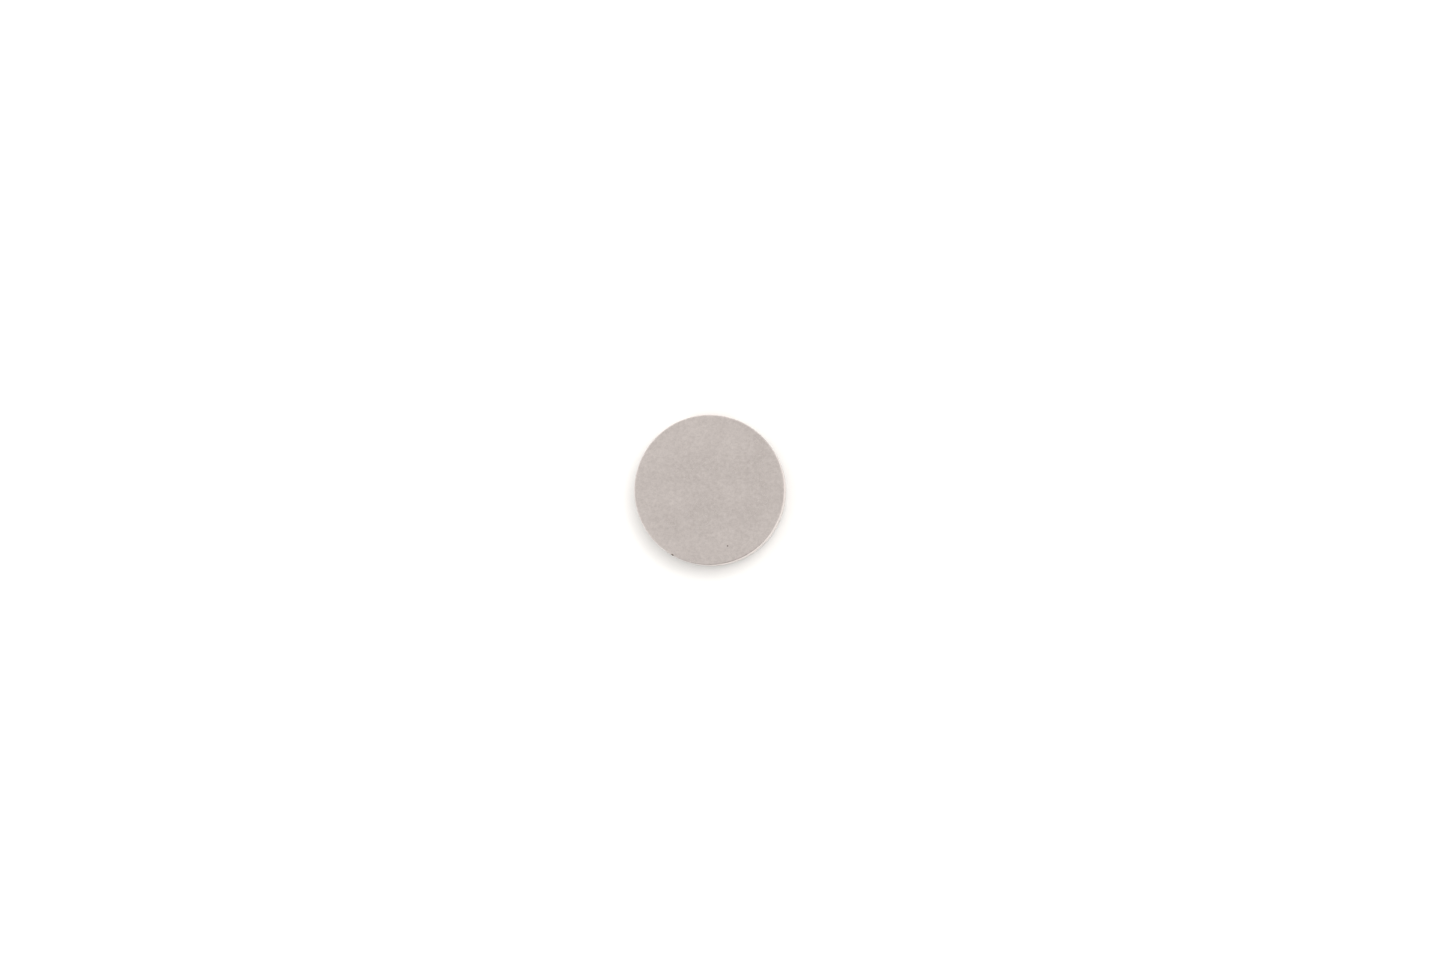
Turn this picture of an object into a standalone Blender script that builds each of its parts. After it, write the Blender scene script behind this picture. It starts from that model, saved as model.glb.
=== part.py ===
"""Vibration coin motor: a flat brushed motor in a drawn steel can, whose rotor is heavy on one side.

The can is a drawn cover closed by a base plate, which carries the shaft, a ring magnet and a flexible
circuit with two brushes. The rotor turns on the fixed shaft: a bearing, a circuit board with six
commutator segments underneath, two coils and a counterweight held in a moulding. The circuit's tail
folds round the edge of the base plate and ends in two contact pads, in a slot of the adhesive pad.

Frame: metres, +Z up along the shaft, origin on the shaft's axis in the adhesive pad's lower face. The tail
leaves on the +Y side. Each piece is modelled at z = 0, and its location stands it at its height.
"""

from math import acos, asin, atan2, cos, hypot, pi, radians, sin, sqrt

import bmesh
import bpy

MM = 0.001

# ---------------------------------------------------------------- driving dimensions

SEAM = 0.01 * MM  # bare gap between two pieces that touch

CASE_DIAMETER = 10.0 * MM
CASE_HEIGHT = 2.7 * MM  # base plate's underside to the cover's top face
COVER_SHEET = 0.22 * MM
COVER_CORNER = 0.09 * MM  # outside radius of the drawn corner
COVER_INNER_CORNER = 0.08 * MM
COVER_RIM_CHAMFER = 0.03 * MM

BASE_SHEET = 0.25 * MM
BOSS_HEIGHT = 0.30 * MM  # collar drawn up round the shaft, above the sheet
BOSS_WALL = 0.26 * MM
BOSS_FILLET = 0.06 * MM

SHAFT_DIAMETER = 0.70 * MM
SHAFT_CHAMFER = 0.05 * MM
SHAFT_SEAT_DEPTH = 0.10 * MM  # blind seat coined in the inside of the cover

FLEX_SHEET = 0.10 * MM
FLEX_EDGE = 0.45 * MM  # from the can's inner wall in to the circuit's rim
TAIL_WIDTH = 2.6 * MM
TAIL_REACH = 3.3 * MM  # straight run of the tail under the base plate
TAIL_RECESS = 0.10 * MM  # the fold stays this far inside the can's outline
TAIL_SIDE_GAP = 0.12 * MM  # beside the tail, in the cover, the base plate and the tape
TAIL_TOP_GAP = 0.10 * MM  # above the tail, in the cover's window

CONTACT_WIDTH = 0.95 * MM
CONTACT_LENGTH = 1.7 * MM
CONTACT_SPACING = 1.35 * MM
CONTACT_FOIL = 0.03 * MM
CONTACT_END_MARGIN = 0.25 * MM  # from the tail's end to the contact pads

TAPE_SHEET = 0.18 * MM
TAPE_EDGE = 0.45 * MM  # from the can's outline in to the tape's

MAGNET_HEIGHT = 0.70 * MM
MAGNET_BORE = 4.6 * MM
MAGNET_EDGE = 0.35 * MM  # from the can's inner wall in to the magnet
MAGNET_CHAMFER = 0.05 * MM

WASHER_SHEET = 0.08 * MM
WASHER_BORE_GAP = 0.05 * MM
WASHER_WIDTH = 0.30 * MM

BEARING_WALL = 0.38 * MM
BEARING_RUNNING_GAP = 0.02 * MM  # radial, round the shaft
BEARING_CHAMFER = 0.05 * MM
END_FLOAT = 0.02 * MM  # between the bearing and each washer

ROTOR_AIR_GAP = 0.16 * MM  # magnet to rotor board
ROTOR_SIDE_GAP = 0.38 * MM  # rotor to the can's inner wall
ROTOR_ROOF_GAP = 0.20 * MM  # rotor to the inside of the cover
ROTOR_HEADING = radians(-90)  # the heavy side's direction at rest

HUB_WALL = 0.50 * MM
RIM_WALL = 0.14 * MM  # moulding outside the coils
WEB_WALL = 0.14 * MM  # moulding between the coils and the counterweight

BOARD_SHEET = 0.15 * MM
BOARD_INSET = 0.10 * MM  # the board's rim inside the moulding's

COMMUTATOR_DIAMETER = 3.7 * MM
COMMUTATOR_FOIL = 0.04 * MM
COMMUTATOR_HOLE_GAP = 0.18 * MM  # bearing to segments
COMMUTATOR_SLIT = 0.12 * MM
COMMUTATOR_SEGMENTS = 6
HUB_BOARD_MARGIN = 0.10 * MM  # bare board outside the segments and the terminals

COIL_ANGLE = radians(60)  # each coil, either side of the rotor's heavy line
COIL_CORE_DIAMETER = 1.1 * MM
COIL_CORNER = 0.08 * MM
COIL_SINK = 0.06 * MM  # coils below the moulding's top face
COUNTERWEIGHT_SINK = 0.03 * MM

BRUSH_SHEET = 0.06 * MM
BRUSH_WIDTH = 0.44 * MM
BRUSH_SLIT = 0.08 * MM  # between a brush's two fingers
BRUSH_FOOT = 0.50 * MM
BRUSH_BORE_GAP = 0.10 * MM  # brush foot to magnet
BRUSH_TIP_RADIUS = 0.14 * MM
BRUSH_TIP_ANGLE = radians(35)  # how far the tip curls down past its contact point
BRUSH_SLIT_START = 0.25 * MM  # from the foot's bend to the slit

SOLDER_TOP = 0.10 * MM  # radius of a dot's flat top
BRUSH_SOLDER_RADIUS = 0.17 * MM
BRUSH_SOLDER_HEIGHT = 0.07 * MM
TERMINAL_RADIUS = 0.20 * MM
TERMINAL_HEIGHT = 0.12 * MM
TERMINAL_HUB_GAP = 0.12 * MM  # from the hub to the three coil terminals behind it
TERMINAL_STEP = radians(42)  # from one terminal to the next

BIG_ROUND = 96  # sides of the can-sized circles
MIDDLE_ROUND = 48
SMALL_ROUND = 32
CORNER_STEPS = 4
FOLD_STEPS = 8

# ---------------------------------------------------------------- radii that follow

case_radius = CASE_DIAMETER / 2
inner_radius = case_radius - COVER_SHEET
base_radius = inner_radius - SEAM
shaft_radius = SHAFT_DIAMETER / 2
boss_bore = shaft_radius + SEAM
boss_radius = boss_bore + BOSS_WALL
magnet_radius = inner_radius - MAGNET_EDGE
magnet_bore = MAGNET_BORE / 2
flex_radius = inner_radius - FLEX_EDGE
flex_bore = boss_radius + BOSS_FILLET + SEAM
tape_radius = case_radius - TAPE_EDGE
washer_bore = shaft_radius + WASHER_BORE_GAP
washer_radius = washer_bore + WASHER_WIDTH
bearing_bore = shaft_radius + BEARING_RUNNING_GAP
bearing_radius = bearing_bore + BEARING_WALL
hub_bore = bearing_radius + SEAM
hub_radius = hub_bore + HUB_WALL
rotor_radius = inner_radius - ROTOR_SIDE_GAP
board_radius = rotor_radius - BOARD_INSET
commutator_radius = COMMUTATOR_DIAMETER / 2
commutator_bore = bearing_radius + COMMUTATOR_HOLE_GAP
terminal_orbit = hub_radius + TERMINAL_HUB_GAP + TERMINAL_RADIUS
board_hub_radius = max(commutator_radius, terminal_orbit + TERMINAL_RADIUS) + HUB_BOARD_MARGIN
coil_radius = (rotor_radius - RIM_WALL - hub_radius) / 2 - SEAM
coil_orbit = (rotor_radius - RIM_WALL + hub_radius) / 2
coil_pocket = coil_radius + SEAM
rotor_half_angle = COIL_ANGLE + asin((coil_pocket + RIM_WALL) / coil_orbit)
weight_outer = rotor_radius - RIM_WALL - SEAM
weight_inner = hub_radius + WEB_WALL
brush_line = (commutator_bore + commutator_radius) / 2  # distance of a brush's line from the axis

# ---------------------------------------------------------------- heights that follow

base_z = TAPE_SHEET + SEAM
base_top = base_z + BASE_SHEET
case_top = base_z + CASE_HEIGHT
roof_z = case_top - COVER_SHEET
flex_z = base_top + SEAM
flex_top = flex_z + FLEX_SHEET
tail_z = base_z - SEAM - FLEX_SHEET
contact_z = tail_z - SEAM - CONTACT_FOIL
magnet_z = flex_top + SEAM
magnet_top = magnet_z + MAGNET_HEIGHT
boss_top = base_top + BOSS_HEIGHT
lower_washer_z = boss_top + SEAM
bearing_z = lower_washer_z + WASHER_SHEET + END_FLOAT
upper_washer_z = roof_z - SEAM - WASHER_SHEET
bearing_top = upper_washer_z - END_FLOAT
board_z = magnet_top + ROTOR_AIR_GAP
commutator_z = board_z - SEAM - COMMUTATOR_FOIL
moulding_z = board_z + BOARD_SHEET + SEAM
moulding_top = roof_z - ROTOR_ROOF_GAP
brush_foot_z = flex_top + SEAM
brush_top = commutator_z - SEAM
shaft_z = base_z + SEAM
shaft_top = roof_z + SHAFT_SEAT_DEPTH - SEAM

# The fold runs round the base plate's edge, which is cut back so that the fold stays inside the can.
fold_radius = (flex_top - tail_z) / 2
fold_mid_radius = fold_radius - FLEX_SHEET / 2
tail_half = TAIL_WIDTH / 2
tail_slot_half = tail_half + TAIL_SIDE_GAP
tail_edge_y = sqrt(case_radius**2 - tail_half**2) - TAIL_RECESS - fold_radius
tail_end_y = tail_edge_y - TAIL_REACH
contact_y = tail_end_y + CONTACT_END_MARGIN + CONTACT_LENGTH / 2


# ---------------------------------------------------------------- scene, materials and modelling steps

for leftover in list(bpy.data.objects):
    bpy.data.objects.remove(leftover)

parts = bpy.data.collections.new("vibration_coin_motor")
cutters = bpy.data.collections.new("cutters")
for group in (parts, cutters):
    bpy.context.scene.collection.children.link(group)


def material(name, colour, roughness, metallic=0.0):
    made = bpy.data.materials.new(name)
    made.use_nodes = True
    shader = made.node_tree.nodes["Principled BSDF"]
    shader.inputs["Base Color"].default_value = (*colour, 1.0)
    shader.inputs["Roughness"].default_value = roughness
    shader.inputs["Metallic"].default_value = metallic
    return made


NICKEL = material("nickel_plated_steel", (0.58, 0.53, 0.50), 0.38, 1.0)
BASE_STEEL = material("zinc_plated_steel", (0.50, 0.50, 0.50), 0.42, 1.0)
SHAFT_STEEL = material("ground_steel", (0.62, 0.62, 0.63), 0.20, 1.0)
MAGNET_NICKEL = material("magnet_plating", (0.55, 0.53, 0.50), 0.22, 1.0)
POLYIMIDE = material("polyimide_film", (0.42, 0.17, 0.03), 0.35)
GOLD = material("gold_plating", (0.83, 0.60, 0.25), 0.25, 1.0)
BRUSH_ALLOY = material("silver_alloy", (0.72, 0.69, 0.62), 0.28, 1.0)
SOLDER = material("solder", (0.60, 0.60, 0.60), 0.30, 1.0)
TAPE = material("adhesive_tape", (0.72, 0.71, 0.66), 0.70)
WASHER_FILM = material("washer_film", (0.62, 0.60, 0.52), 0.45)
BOARD = material("board_laminate", (0.03, 0.16, 0.07), 0.40)
COPPER = material("enamelled_copper", (0.60, 0.22, 0.09), 0.30, 1.0)
TUNGSTEN = material("tungsten_alloy", (0.28, 0.28, 0.29), 0.45, 1.0)
RESIN = material("moulded_resin", (0.02, 0.02, 0.02), 0.50)
BRONZE = material("sintered_bronze", (0.50, 0.32, 0.14), 0.55, 1.0)


def place(obj, finish, z=0.0, parent=None):
    """Stands obj at its height in the parts collection, with its material and, if it moves, its parent."""
    for home in obj.users_collection:
        home.objects.unlink(obj)
    parts.objects.link(obj)
    obj.data.materials.clear()
    obj.data.materials.append(finish)
    obj.location.z = z
    obj.parent = parent
    return obj


def applied(obj):
    """A mesh object in obj's place, with its modifiers applied, its caps welded and its faces smooth."""
    bpy.context.view_layer.update()
    graph = bpy.context.evaluated_depsgraph_get()
    mesh = bpy.data.meshes.new_from_object(obj.evaluated_get(graph))
    welder = bmesh.new()
    welder.from_mesh(mesh)
    bmesh.ops.remove_doubles(welder, verts=welder.verts, dist=SEAM / 100)
    welder.to_mesh(mesh)
    welder.free()
    mesh.shade_smooth()
    mesh.set_sharp_from_angle(angle=radians(30))
    name = obj.name
    matrix = obj.matrix_world.copy()
    bpy.data.objects.remove(obj)
    made = bpy.data.objects.new(name, mesh)
    made.matrix_world = matrix
    parts.objects.link(made)
    return made


def arc(radius, start, end, steps, centre=(0.0, 0.0)):
    """Points along an arc, both ends included."""
    turns = (start + (end - start) * i / steps for i in range(steps + 1))
    return [(centre[0] + radius * cos(t), centre[1] + radius * sin(t)) for t in turns]


def circle(radius, steps, centre=(0.0, 0.0)):
    return arc(radius, 0, 2 * pi * (steps - 1) / steps, steps - 1, centre)


def turned(name, profile, steps, ring):
    """Turns a profile of (radius, z) round Z. It runs down the outer side; a ring's profile is closed,
    and any other starts and ends on the axis."""
    count = len(profile)
    edges = [(i, (i + 1) % count) for i in range(count if ring else count - 1)]
    mesh = bpy.data.meshes.new(name)
    mesh.from_pydata([(r, 0.0, z) for r, z in profile], edges, [])
    obj = bpy.data.objects.new(name, mesh)
    parts.objects.link(obj)
    screw = obj.modifiers.new("turn", "SCREW")
    screw.steps = screw.render_steps = steps
    screw.use_merge_vertices = not ring
    screw.merge_threshold = SEAM / 100
    return applied(obj)


def plate(name, outlines, thickness):
    """A flat piece: the first outline is its edge and the others are holes in it."""
    curve = bpy.data.curves.new(name, "CURVE")
    curve.dimensions = "2D"
    curve.fill_mode = "BOTH"
    curve.extrude = thickness / 2
    for outline in outlines:
        spline = curve.splines.new("POLY")
        spline.points.add(len(outline) - 1)
        spline.use_cyclic_u = True
        for point, (x, y) in zip(spline.points, outline):
            point.co = (x, y, 0.0, 1.0)
    obj = bpy.data.objects.new(name, curve)
    obj.location.z = thickness / 2
    parts.objects.link(obj)
    made = applied(obj)
    made.data.transform(made.matrix_world)
    made.matrix_world.identity()
    return made


def box(name, size, centre):
    """A box of this size with its centre there."""
    bpy.ops.mesh.primitive_cube_add(size=1.0)
    obj = bpy.context.object
    obj.name = name
    obj.data.name = name
    for vertex in obj.data.vertices:
        vertex.co = [c + s * v for c, s, v in zip(centre, size, vertex.co)]
    return obj


def cut(obj, cutter):
    """Takes the cutter, a helper that isn't part of the object, out of obj."""
    for home in cutter.users_collection:
        home.objects.unlink(cutter)
    cutters.objects.link(cutter)
    cutter.hide_render = True
    cutter.display_type = "WIRE"
    difference = obj.modifiers.new("cut_" + cutter.name, "BOOLEAN")
    difference.operation = "DIFFERENCE"
    difference.object = cutter


def ring_profile(bore, radius, height, chamfer=0.0):
    """A ring's section, from z = 0 up, with its four corners chamfered."""
    if chamfer == 0.0:
        return [(radius, height), (radius, 0), (bore, 0), (bore, height)]
    return [
        (radius, height - chamfer),
        (radius, chamfer),
        (radius - chamfer, 0),
        (bore + chamfer, 0),
        (bore, chamfer),
        (bore, height - chamfer),
        (bore + chamfer, height),
        (radius - chamfer, height),
    ]


def polar(radius, angle):
    return radius * cos(angle), radius * sin(angle)


# ---------------------------------------------------------------- the can


def tail_slot(name, near_y, far_y, low_z, high_z):
    """A cutter as wide as the tail and the gap beside it, on the +Y side."""
    size = (2 * tail_slot_half, far_y - near_y, high_z - low_z)
    return box(name, size, (0, (near_y + far_y) / 2, (low_z + high_z) / 2))


def make_cover():
    """Drawn cup, open downwards, with a blind seat for the shaft's end and a window for the tail."""
    top = CASE_HEIGHT
    roof = top - COVER_SHEET
    seat_radius = shaft_radius + SEAM
    outer_centre = (case_radius - COVER_CORNER, top - COVER_CORNER)
    outer_corner = arc(COVER_CORNER, pi / 2, 0, CORNER_STEPS, outer_centre)
    inner_centre = (inner_radius - COVER_INNER_CORNER, roof - COVER_INNER_CORNER)
    inner_corner = arc(COVER_INNER_CORNER, 0, pi / 2, CORNER_STEPS, inner_centre)
    profile = [
        (0, top),
        *outer_corner,
        (case_radius, COVER_RIM_CHAMFER),
        (case_radius - COVER_RIM_CHAMFER, 0),
        (inner_radius, 0),
        *inner_corner,
        (seat_radius, roof),
        (seat_radius, roof + SHAFT_SEAT_DEPTH),
        (0, roof + SHAFT_SEAT_DEPTH),
    ]
    cover = turned("cover", profile, BIG_ROUND, ring=False)
    window_top = flex_top + TAIL_TOP_GAP - base_z
    window = tail_slot("tail_window", inner_radius / 2, case_radius + COVER_SHEET, -COVER_SHEET, window_top)
    window.location.z = base_z
    cut(cover, window)
    place(cover, NICKEL, base_z)


def make_base_plate():
    """Disc with a collar drawn up for the shaft, notched where the tail folds round it."""
    collar_top = BASE_SHEET + BOSS_HEIGHT
    fillet_centre = (boss_radius + BOSS_FILLET, BASE_SHEET + BOSS_FILLET)
    profile = [
        (base_radius, BASE_SHEET),
        (base_radius, 0),
        (boss_bore, 0),
        (boss_bore, collar_top),
        (boss_radius, collar_top),
        *arc(BOSS_FILLET, pi, 3 * pi / 2, CORNER_STEPS, fillet_centre),
    ]
    base = turned("base_plate", profile, BIG_ROUND, ring=True)
    notch = tail_slot("tail_notch", tail_edge_y, case_radius, -BASE_SHEET, 2 * BASE_SHEET)
    notch.location.z = base_z
    cut(base, notch)
    place(base, BASE_STEEL, base_z)


def make_shaft():
    length = shaft_top - shaft_z
    profile = [
        (0, length),
        (shaft_radius - SHAFT_CHAMFER, length),
        (shaft_radius, length - SHAFT_CHAMFER),
        (shaft_radius, SHAFT_CHAMFER),
        (shaft_radius - SHAFT_CHAMFER, 0),
        (0, 0),
    ]
    place(turned("shaft", profile, SMALL_ROUND, ring=False), SHAFT_STEEL, shaft_z)


def make_ring_magnet():
    profile = ring_profile(magnet_bore, magnet_radius, MAGNET_HEIGHT, MAGNET_CHAMFER)
    place(turned("ring_magnet", profile, BIG_ROUND, ring=True), MAGNET_NICKEL, magnet_z)


def make_adhesive_pad():
    """Disc of double-sided tape, slotted from its rim for the tail and its contact pads."""
    slot_end_y = tail_end_y - TAIL_SIDE_GAP
    mouth = atan2(sqrt(tape_radius**2 - tail_slot_half**2), tail_slot_half)
    outline = [
        *arc(tape_radius, pi - mouth, 2 * pi + mouth, BIG_ROUND),
        (tail_slot_half, slot_end_y),
        (-tail_slot_half, slot_end_y),
    ]
    place(plate("adhesive_pad", [outline], TAPE_SHEET), TAPE)


# ---------------------------------------------------------------- flexible circuit and contacts


def make_flex_circuit():
    """One sheet: a ring under the magnet, and a tail that turns down round the base plate's edge and back."""
    mouth = acos(tail_half / flex_radius)
    outline = [
        *arc(flex_radius, pi - mouth, 2 * pi + mouth, BIG_ROUND),
        (tail_half, tail_edge_y),
        (-tail_half, tail_edge_y),
    ]
    flex = plate("flex_circuit", [outline, circle(flex_bore, MIDDLE_ROUND)], FLEX_SHEET)
    sheet = bmesh.new()
    sheet.from_mesh(flex.data)
    lower = [face for face in sheet.faces if face.calc_center_median().z < FLEX_SHEET / 4]
    bmesh.ops.delete(sheet, geom=[face for face in sheet.faces if face not in lower], context="FACES")
    bmesh.ops.translate(sheet, verts=sheet.verts, vec=(0, 0, FLEX_SHEET / 2))
    end = [edge for edge in sheet.edges if all(v.co.y > tail_edge_y - SEAM for v in edge.verts)]
    middle = (0, tail_edge_y, FLEX_SHEET / 2 - fold_mid_radius)
    spun = bmesh.ops.spin(
        sheet, geom=end, cent=middle, axis=(1, 0, 0), angle=-pi, steps=FOLD_STEPS, use_duplicate=False
    )
    last = [piece for piece in spun["geom_last"] if isinstance(piece, bmesh.types.BMEdge)]
    run = bmesh.ops.extrude_edge_only(sheet, edges=last)
    run_verts = [piece for piece in run["geom"] if isinstance(piece, bmesh.types.BMVert)]
    bmesh.ops.translate(sheet, verts=run_verts, vec=(0, -TAIL_REACH, 0))
    bmesh.ops.recalc_face_normals(sheet, faces=sheet.faces)
    sheet.to_mesh(flex.data)
    sheet.free()
    skin = flex.modifiers.new("film", "SOLIDIFY")
    skin.thickness = FLEX_SHEET
    skin.offset = 0.0
    skin.use_even_offset = True
    place(flex, POLYIMIDE, flex_z)


def make_contact_pads():
    """Two gold-plated pads on the lower face of the folded tail."""
    size = (CONTACT_WIDTH, CONTACT_LENGTH, CONTACT_FOIL)
    for name, side in (("contact_pad_positive", 1), ("contact_pad_negative", -1)):
        pad = box(name, size, (0, 0, CONTACT_FOIL / 2))
        pad.location = (side * CONTACT_SPACING / 2, contact_y, 0)
        place(pad, GOLD, contact_z)


def brush_path():
    """The brush's middle line as (run, z): foot, bend, rising blade, and a tip that curls over at run 0."""
    half = BRUSH_SHEET / 2
    reach = sqrt((magnet_bore - BRUSH_BORE_GAP) ** 2 - (brush_line + BRUSH_WIDTH / 2) ** 2)
    bend = -reach + BRUSH_FOOT
    low, high = half, brush_top - brush_foot_z - half
    tip_centre = (0.0, high - BRUSH_TIP_RADIUS)
    run, rise = tip_centre[0] - bend, tip_centre[1] - low
    # The blade is the tangent from the bend to the tip's circle.
    slope = atan2(rise, run) + acos(sqrt(run**2 + rise**2 - BRUSH_TIP_RADIUS**2) / hypot(run, rise))
    tip = arc(BRUSH_TIP_RADIUS, pi / 2 + slope, pi / 2 - BRUSH_TIP_ANGLE, 2 * CORNER_STEPS, tip_centre)
    return [(-reach, low), (bend, low), *tip], bend


def make_brush(name, mirrored):
    """A leaf of spring alloy whose two fingers press on the commutator. The other brush mirrors it
    about y = x, so the contact points are a quarter turn apart."""
    path, bend = brush_path()
    side = brush_line - BRUSH_WIDTH / 2
    leaf = bmesh.new()
    verts = [leaf.verts.new((side, run, z)) for run, z in path]
    edges = [leaf.edges.new(pair) for pair in zip(verts, verts[1:])]
    strip = bmesh.ops.extrude_edge_only(leaf, edges=edges)
    far = [piece for piece in strip["geom"] if isinstance(piece, bmesh.types.BMVert)]
    bmesh.ops.translate(leaf, verts=far, vec=(BRUSH_WIDTH, 0, 0))
    if mirrored:
        for vertex in leaf.verts:
            vertex.co.x, vertex.co.y = vertex.co.y, vertex.co.x
    bmesh.ops.recalc_face_normals(leaf, faces=leaf.faces)
    mesh = bpy.data.meshes.new(name)
    leaf.to_mesh(mesh)
    leaf.free()
    brush = bpy.data.objects.new(name, mesh)
    parts.objects.link(brush)
    skin = brush.modifiers.new("leaf", "SOLIDIFY")
    skin.thickness = BRUSH_SHEET
    skin.offset = 0.0
    skin.use_even_offset = True
    slit_start = bend + BRUSH_SLIT_START
    slit_end = commutator_radius
    height = brush_top - brush_foot_z
    size = (BRUSH_SLIT, slit_end - slit_start, 3 * height)
    centre = (brush_line, (slit_start + slit_end) / 2, height)
    if mirrored:
        size = (size[1], size[0], size[2])
        centre = (centre[1], centre[0], centre[2])
    slit = box(name + "_slit", size, centre)
    slit.location.z = brush_foot_z
    cut(brush, slit)
    place(brush, BRUSH_ALLOY, brush_foot_z)
    return bend


def solder_dot(name, radius, height, x, y, z, parent=None):
    """A solder dot: a low cone with a flat top."""
    bpy.ops.mesh.primitive_cone_add(
        vertices=SMALL_ROUND // 2, radius1=radius, radius2=SOLDER_TOP, depth=height
    )
    dot = bpy.context.object
    dot.name = name
    dot.location = (x, y, 0)
    place(dot, SOLDER, z + height / 2, parent)


def make_brushes():
    bend = make_brush("brush_positive", mirrored=False)
    make_brush("brush_negative", mirrored=True)
    foot = bend - BRUSH_FOOT / 2
    dot_z = brush_foot_z + BRUSH_SHEET + SEAM
    solder_dot("brush_solder_positive", BRUSH_SOLDER_RADIUS, BRUSH_SOLDER_HEIGHT, brush_line, foot, dot_z)
    solder_dot("brush_solder_negative", BRUSH_SOLDER_RADIUS, BRUSH_SOLDER_HEIGHT, foot, brush_line, dot_z)


# ---------------------------------------------------------------- rotor


def make_washer(name, z):
    """A ring of slippery film, loose on the shaft: it turns on its own."""
    washer = turned(name, ring_profile(washer_bore, washer_radius, WASHER_SHEET), SMALL_ROUND, ring=True)
    place(washer, WASHER_FILM, z)


def half_moon(radius, hub, half_angle):
    """The rotor's outline: a sector on the +X side and a round hub behind it."""
    front = arc(radius, -half_angle, half_angle, MIDDLE_ROUND)
    back = arc(hub, half_angle, 2 * pi - half_angle, SMALL_ROUND)
    return front + back


def weight_outline(grow):
    """The counterweight's fan shape between the two coils, grown all round by this much."""
    outer = weight_outer + grow
    inner = weight_inner - grow
    clear = coil_pocket + WEB_WALL - grow

    def angle_where(radius):
        """Where a circle round the axis meets the clearance circle round a coil."""
        return COIL_ANGLE - acos((radius**2 + coil_orbit**2 - clear**2) / (2 * radius * coil_orbit))

    centre = polar(coil_orbit, COIL_ANGLE)
    far, near = polar(outer, angle_where(outer)), polar(inner, angle_where(inner))
    start = atan2(far[1] - centre[1], far[0] - centre[0])
    end = atan2(near[1] - centre[1], near[0] - centre[0])
    if end > start:
        end -= 2 * pi
    side = arc(clear, start, end, SMALL_ROUND // 2, centre)[1:-1]
    front = arc(outer, -angle_where(outer), angle_where(outer), SMALL_ROUND)
    back = arc(inner, angle_where(inner), -angle_where(inner), SMALL_ROUND // 4)
    return front + side + back + [(x, -y) for x, y in reversed(side)]


def make_rotor():
    """Everything here hangs on the empty on the shaft's axis, and turns with it."""
    axis = bpy.data.objects.new("rotor_axis", None)
    parts.objects.link(axis)
    axis.rotation_euler.z = ROTOR_HEADING

    length = bearing_top - bearing_z
    section = ring_profile(bearing_bore, bearing_radius, length, BEARING_CHAMFER)
    place(turned("bearing", section, SMALL_ROUND, ring=True), BRONZE, bearing_z, axis)

    board_outline = half_moon(board_radius, board_hub_radius, rotor_half_angle)
    board = plate("rotor_board", [board_outline, circle(hub_bore, SMALL_ROUND)], BOARD_SHEET)
    place(board, BOARD, board_z, axis)

    coil_height = moulding_top - moulding_z - COIL_SINK
    coil_centres = [polar(coil_orbit, side * COIL_ANGLE) for side in (1, -1)]
    coil_section = ring_profile(COIL_CORE_DIAMETER / 2, coil_radius, coil_height, COIL_CORNER)
    for number, centre in enumerate(coil_centres, 1):
        coil = turned(f"coil_{number}", coil_section, MIDDLE_ROUND, ring=True)
        coil.location = (*centre, 0)
        place(coil, COPPER, moulding_z, axis)

    weight = plate("counterweight", [weight_outline(0.0)], moulding_top - moulding_z - COUNTERWEIGHT_SINK)
    place(weight, TUNGSTEN, moulding_z, axis)

    holes = [circle(hub_bore, SMALL_ROUND), weight_outline(SEAM)]
    holes += [circle(coil_pocket, MIDDLE_ROUND, centre) for centre in coil_centres]
    outline = half_moon(rotor_radius, hub_radius, rotor_half_angle)
    moulding = plate("rotor_moulding", [outline, *holes], moulding_top - moulding_z)
    place(moulding, RESIN, moulding_z, axis)

    pitch = 2 * pi / COMMUTATOR_SEGMENTS
    for number in range(COMMUTATOR_SEGMENTS):
        middle = (number + 0.5) * pitch
        reach = [pitch / 2 - COMMUTATOR_SLIT / 2 / r for r in (commutator_bore, commutator_radius)]
        outline = arc(commutator_bore, middle + reach[0], middle - reach[0], CORNER_STEPS)
        outline += arc(commutator_radius, middle - reach[1], middle + reach[1], 2 * CORNER_STEPS)
        segment = plate(f"commutator_segment_{number + 1}", [outline], COMMUTATOR_FOIL)
        place(segment, GOLD, commutator_z, axis)

    for number in range(3):
        x, y = polar(terminal_orbit, pi + (number - 1) * TERMINAL_STEP)
        name = f"coil_terminal_{number + 1}"
        solder_dot(name, TERMINAL_RADIUS, TERMINAL_HEIGHT, x, y, moulding_z, axis)


make_cover()
make_base_plate()
make_shaft()
make_ring_magnet()
make_adhesive_pad()
make_flex_circuit()
make_contact_pads()
make_brushes()
make_washer("lower_washer", lower_washer_z)
make_washer("upper_washer", upper_washer_z)
make_rotor()
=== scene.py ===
"""Looks for a vibration coin motor: a satin steel can over an off-balance rotor.

Sizes here are in millimetres, and a mesh is turned to metres as it is put in the scene. The pieces follow
the way the motor is put together: the base plate and what is fixed on it, the rotor, the cover, and the tape.
"""

import math

import bmesh
import bpy
from mathutils import Matrix, Vector


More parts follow.
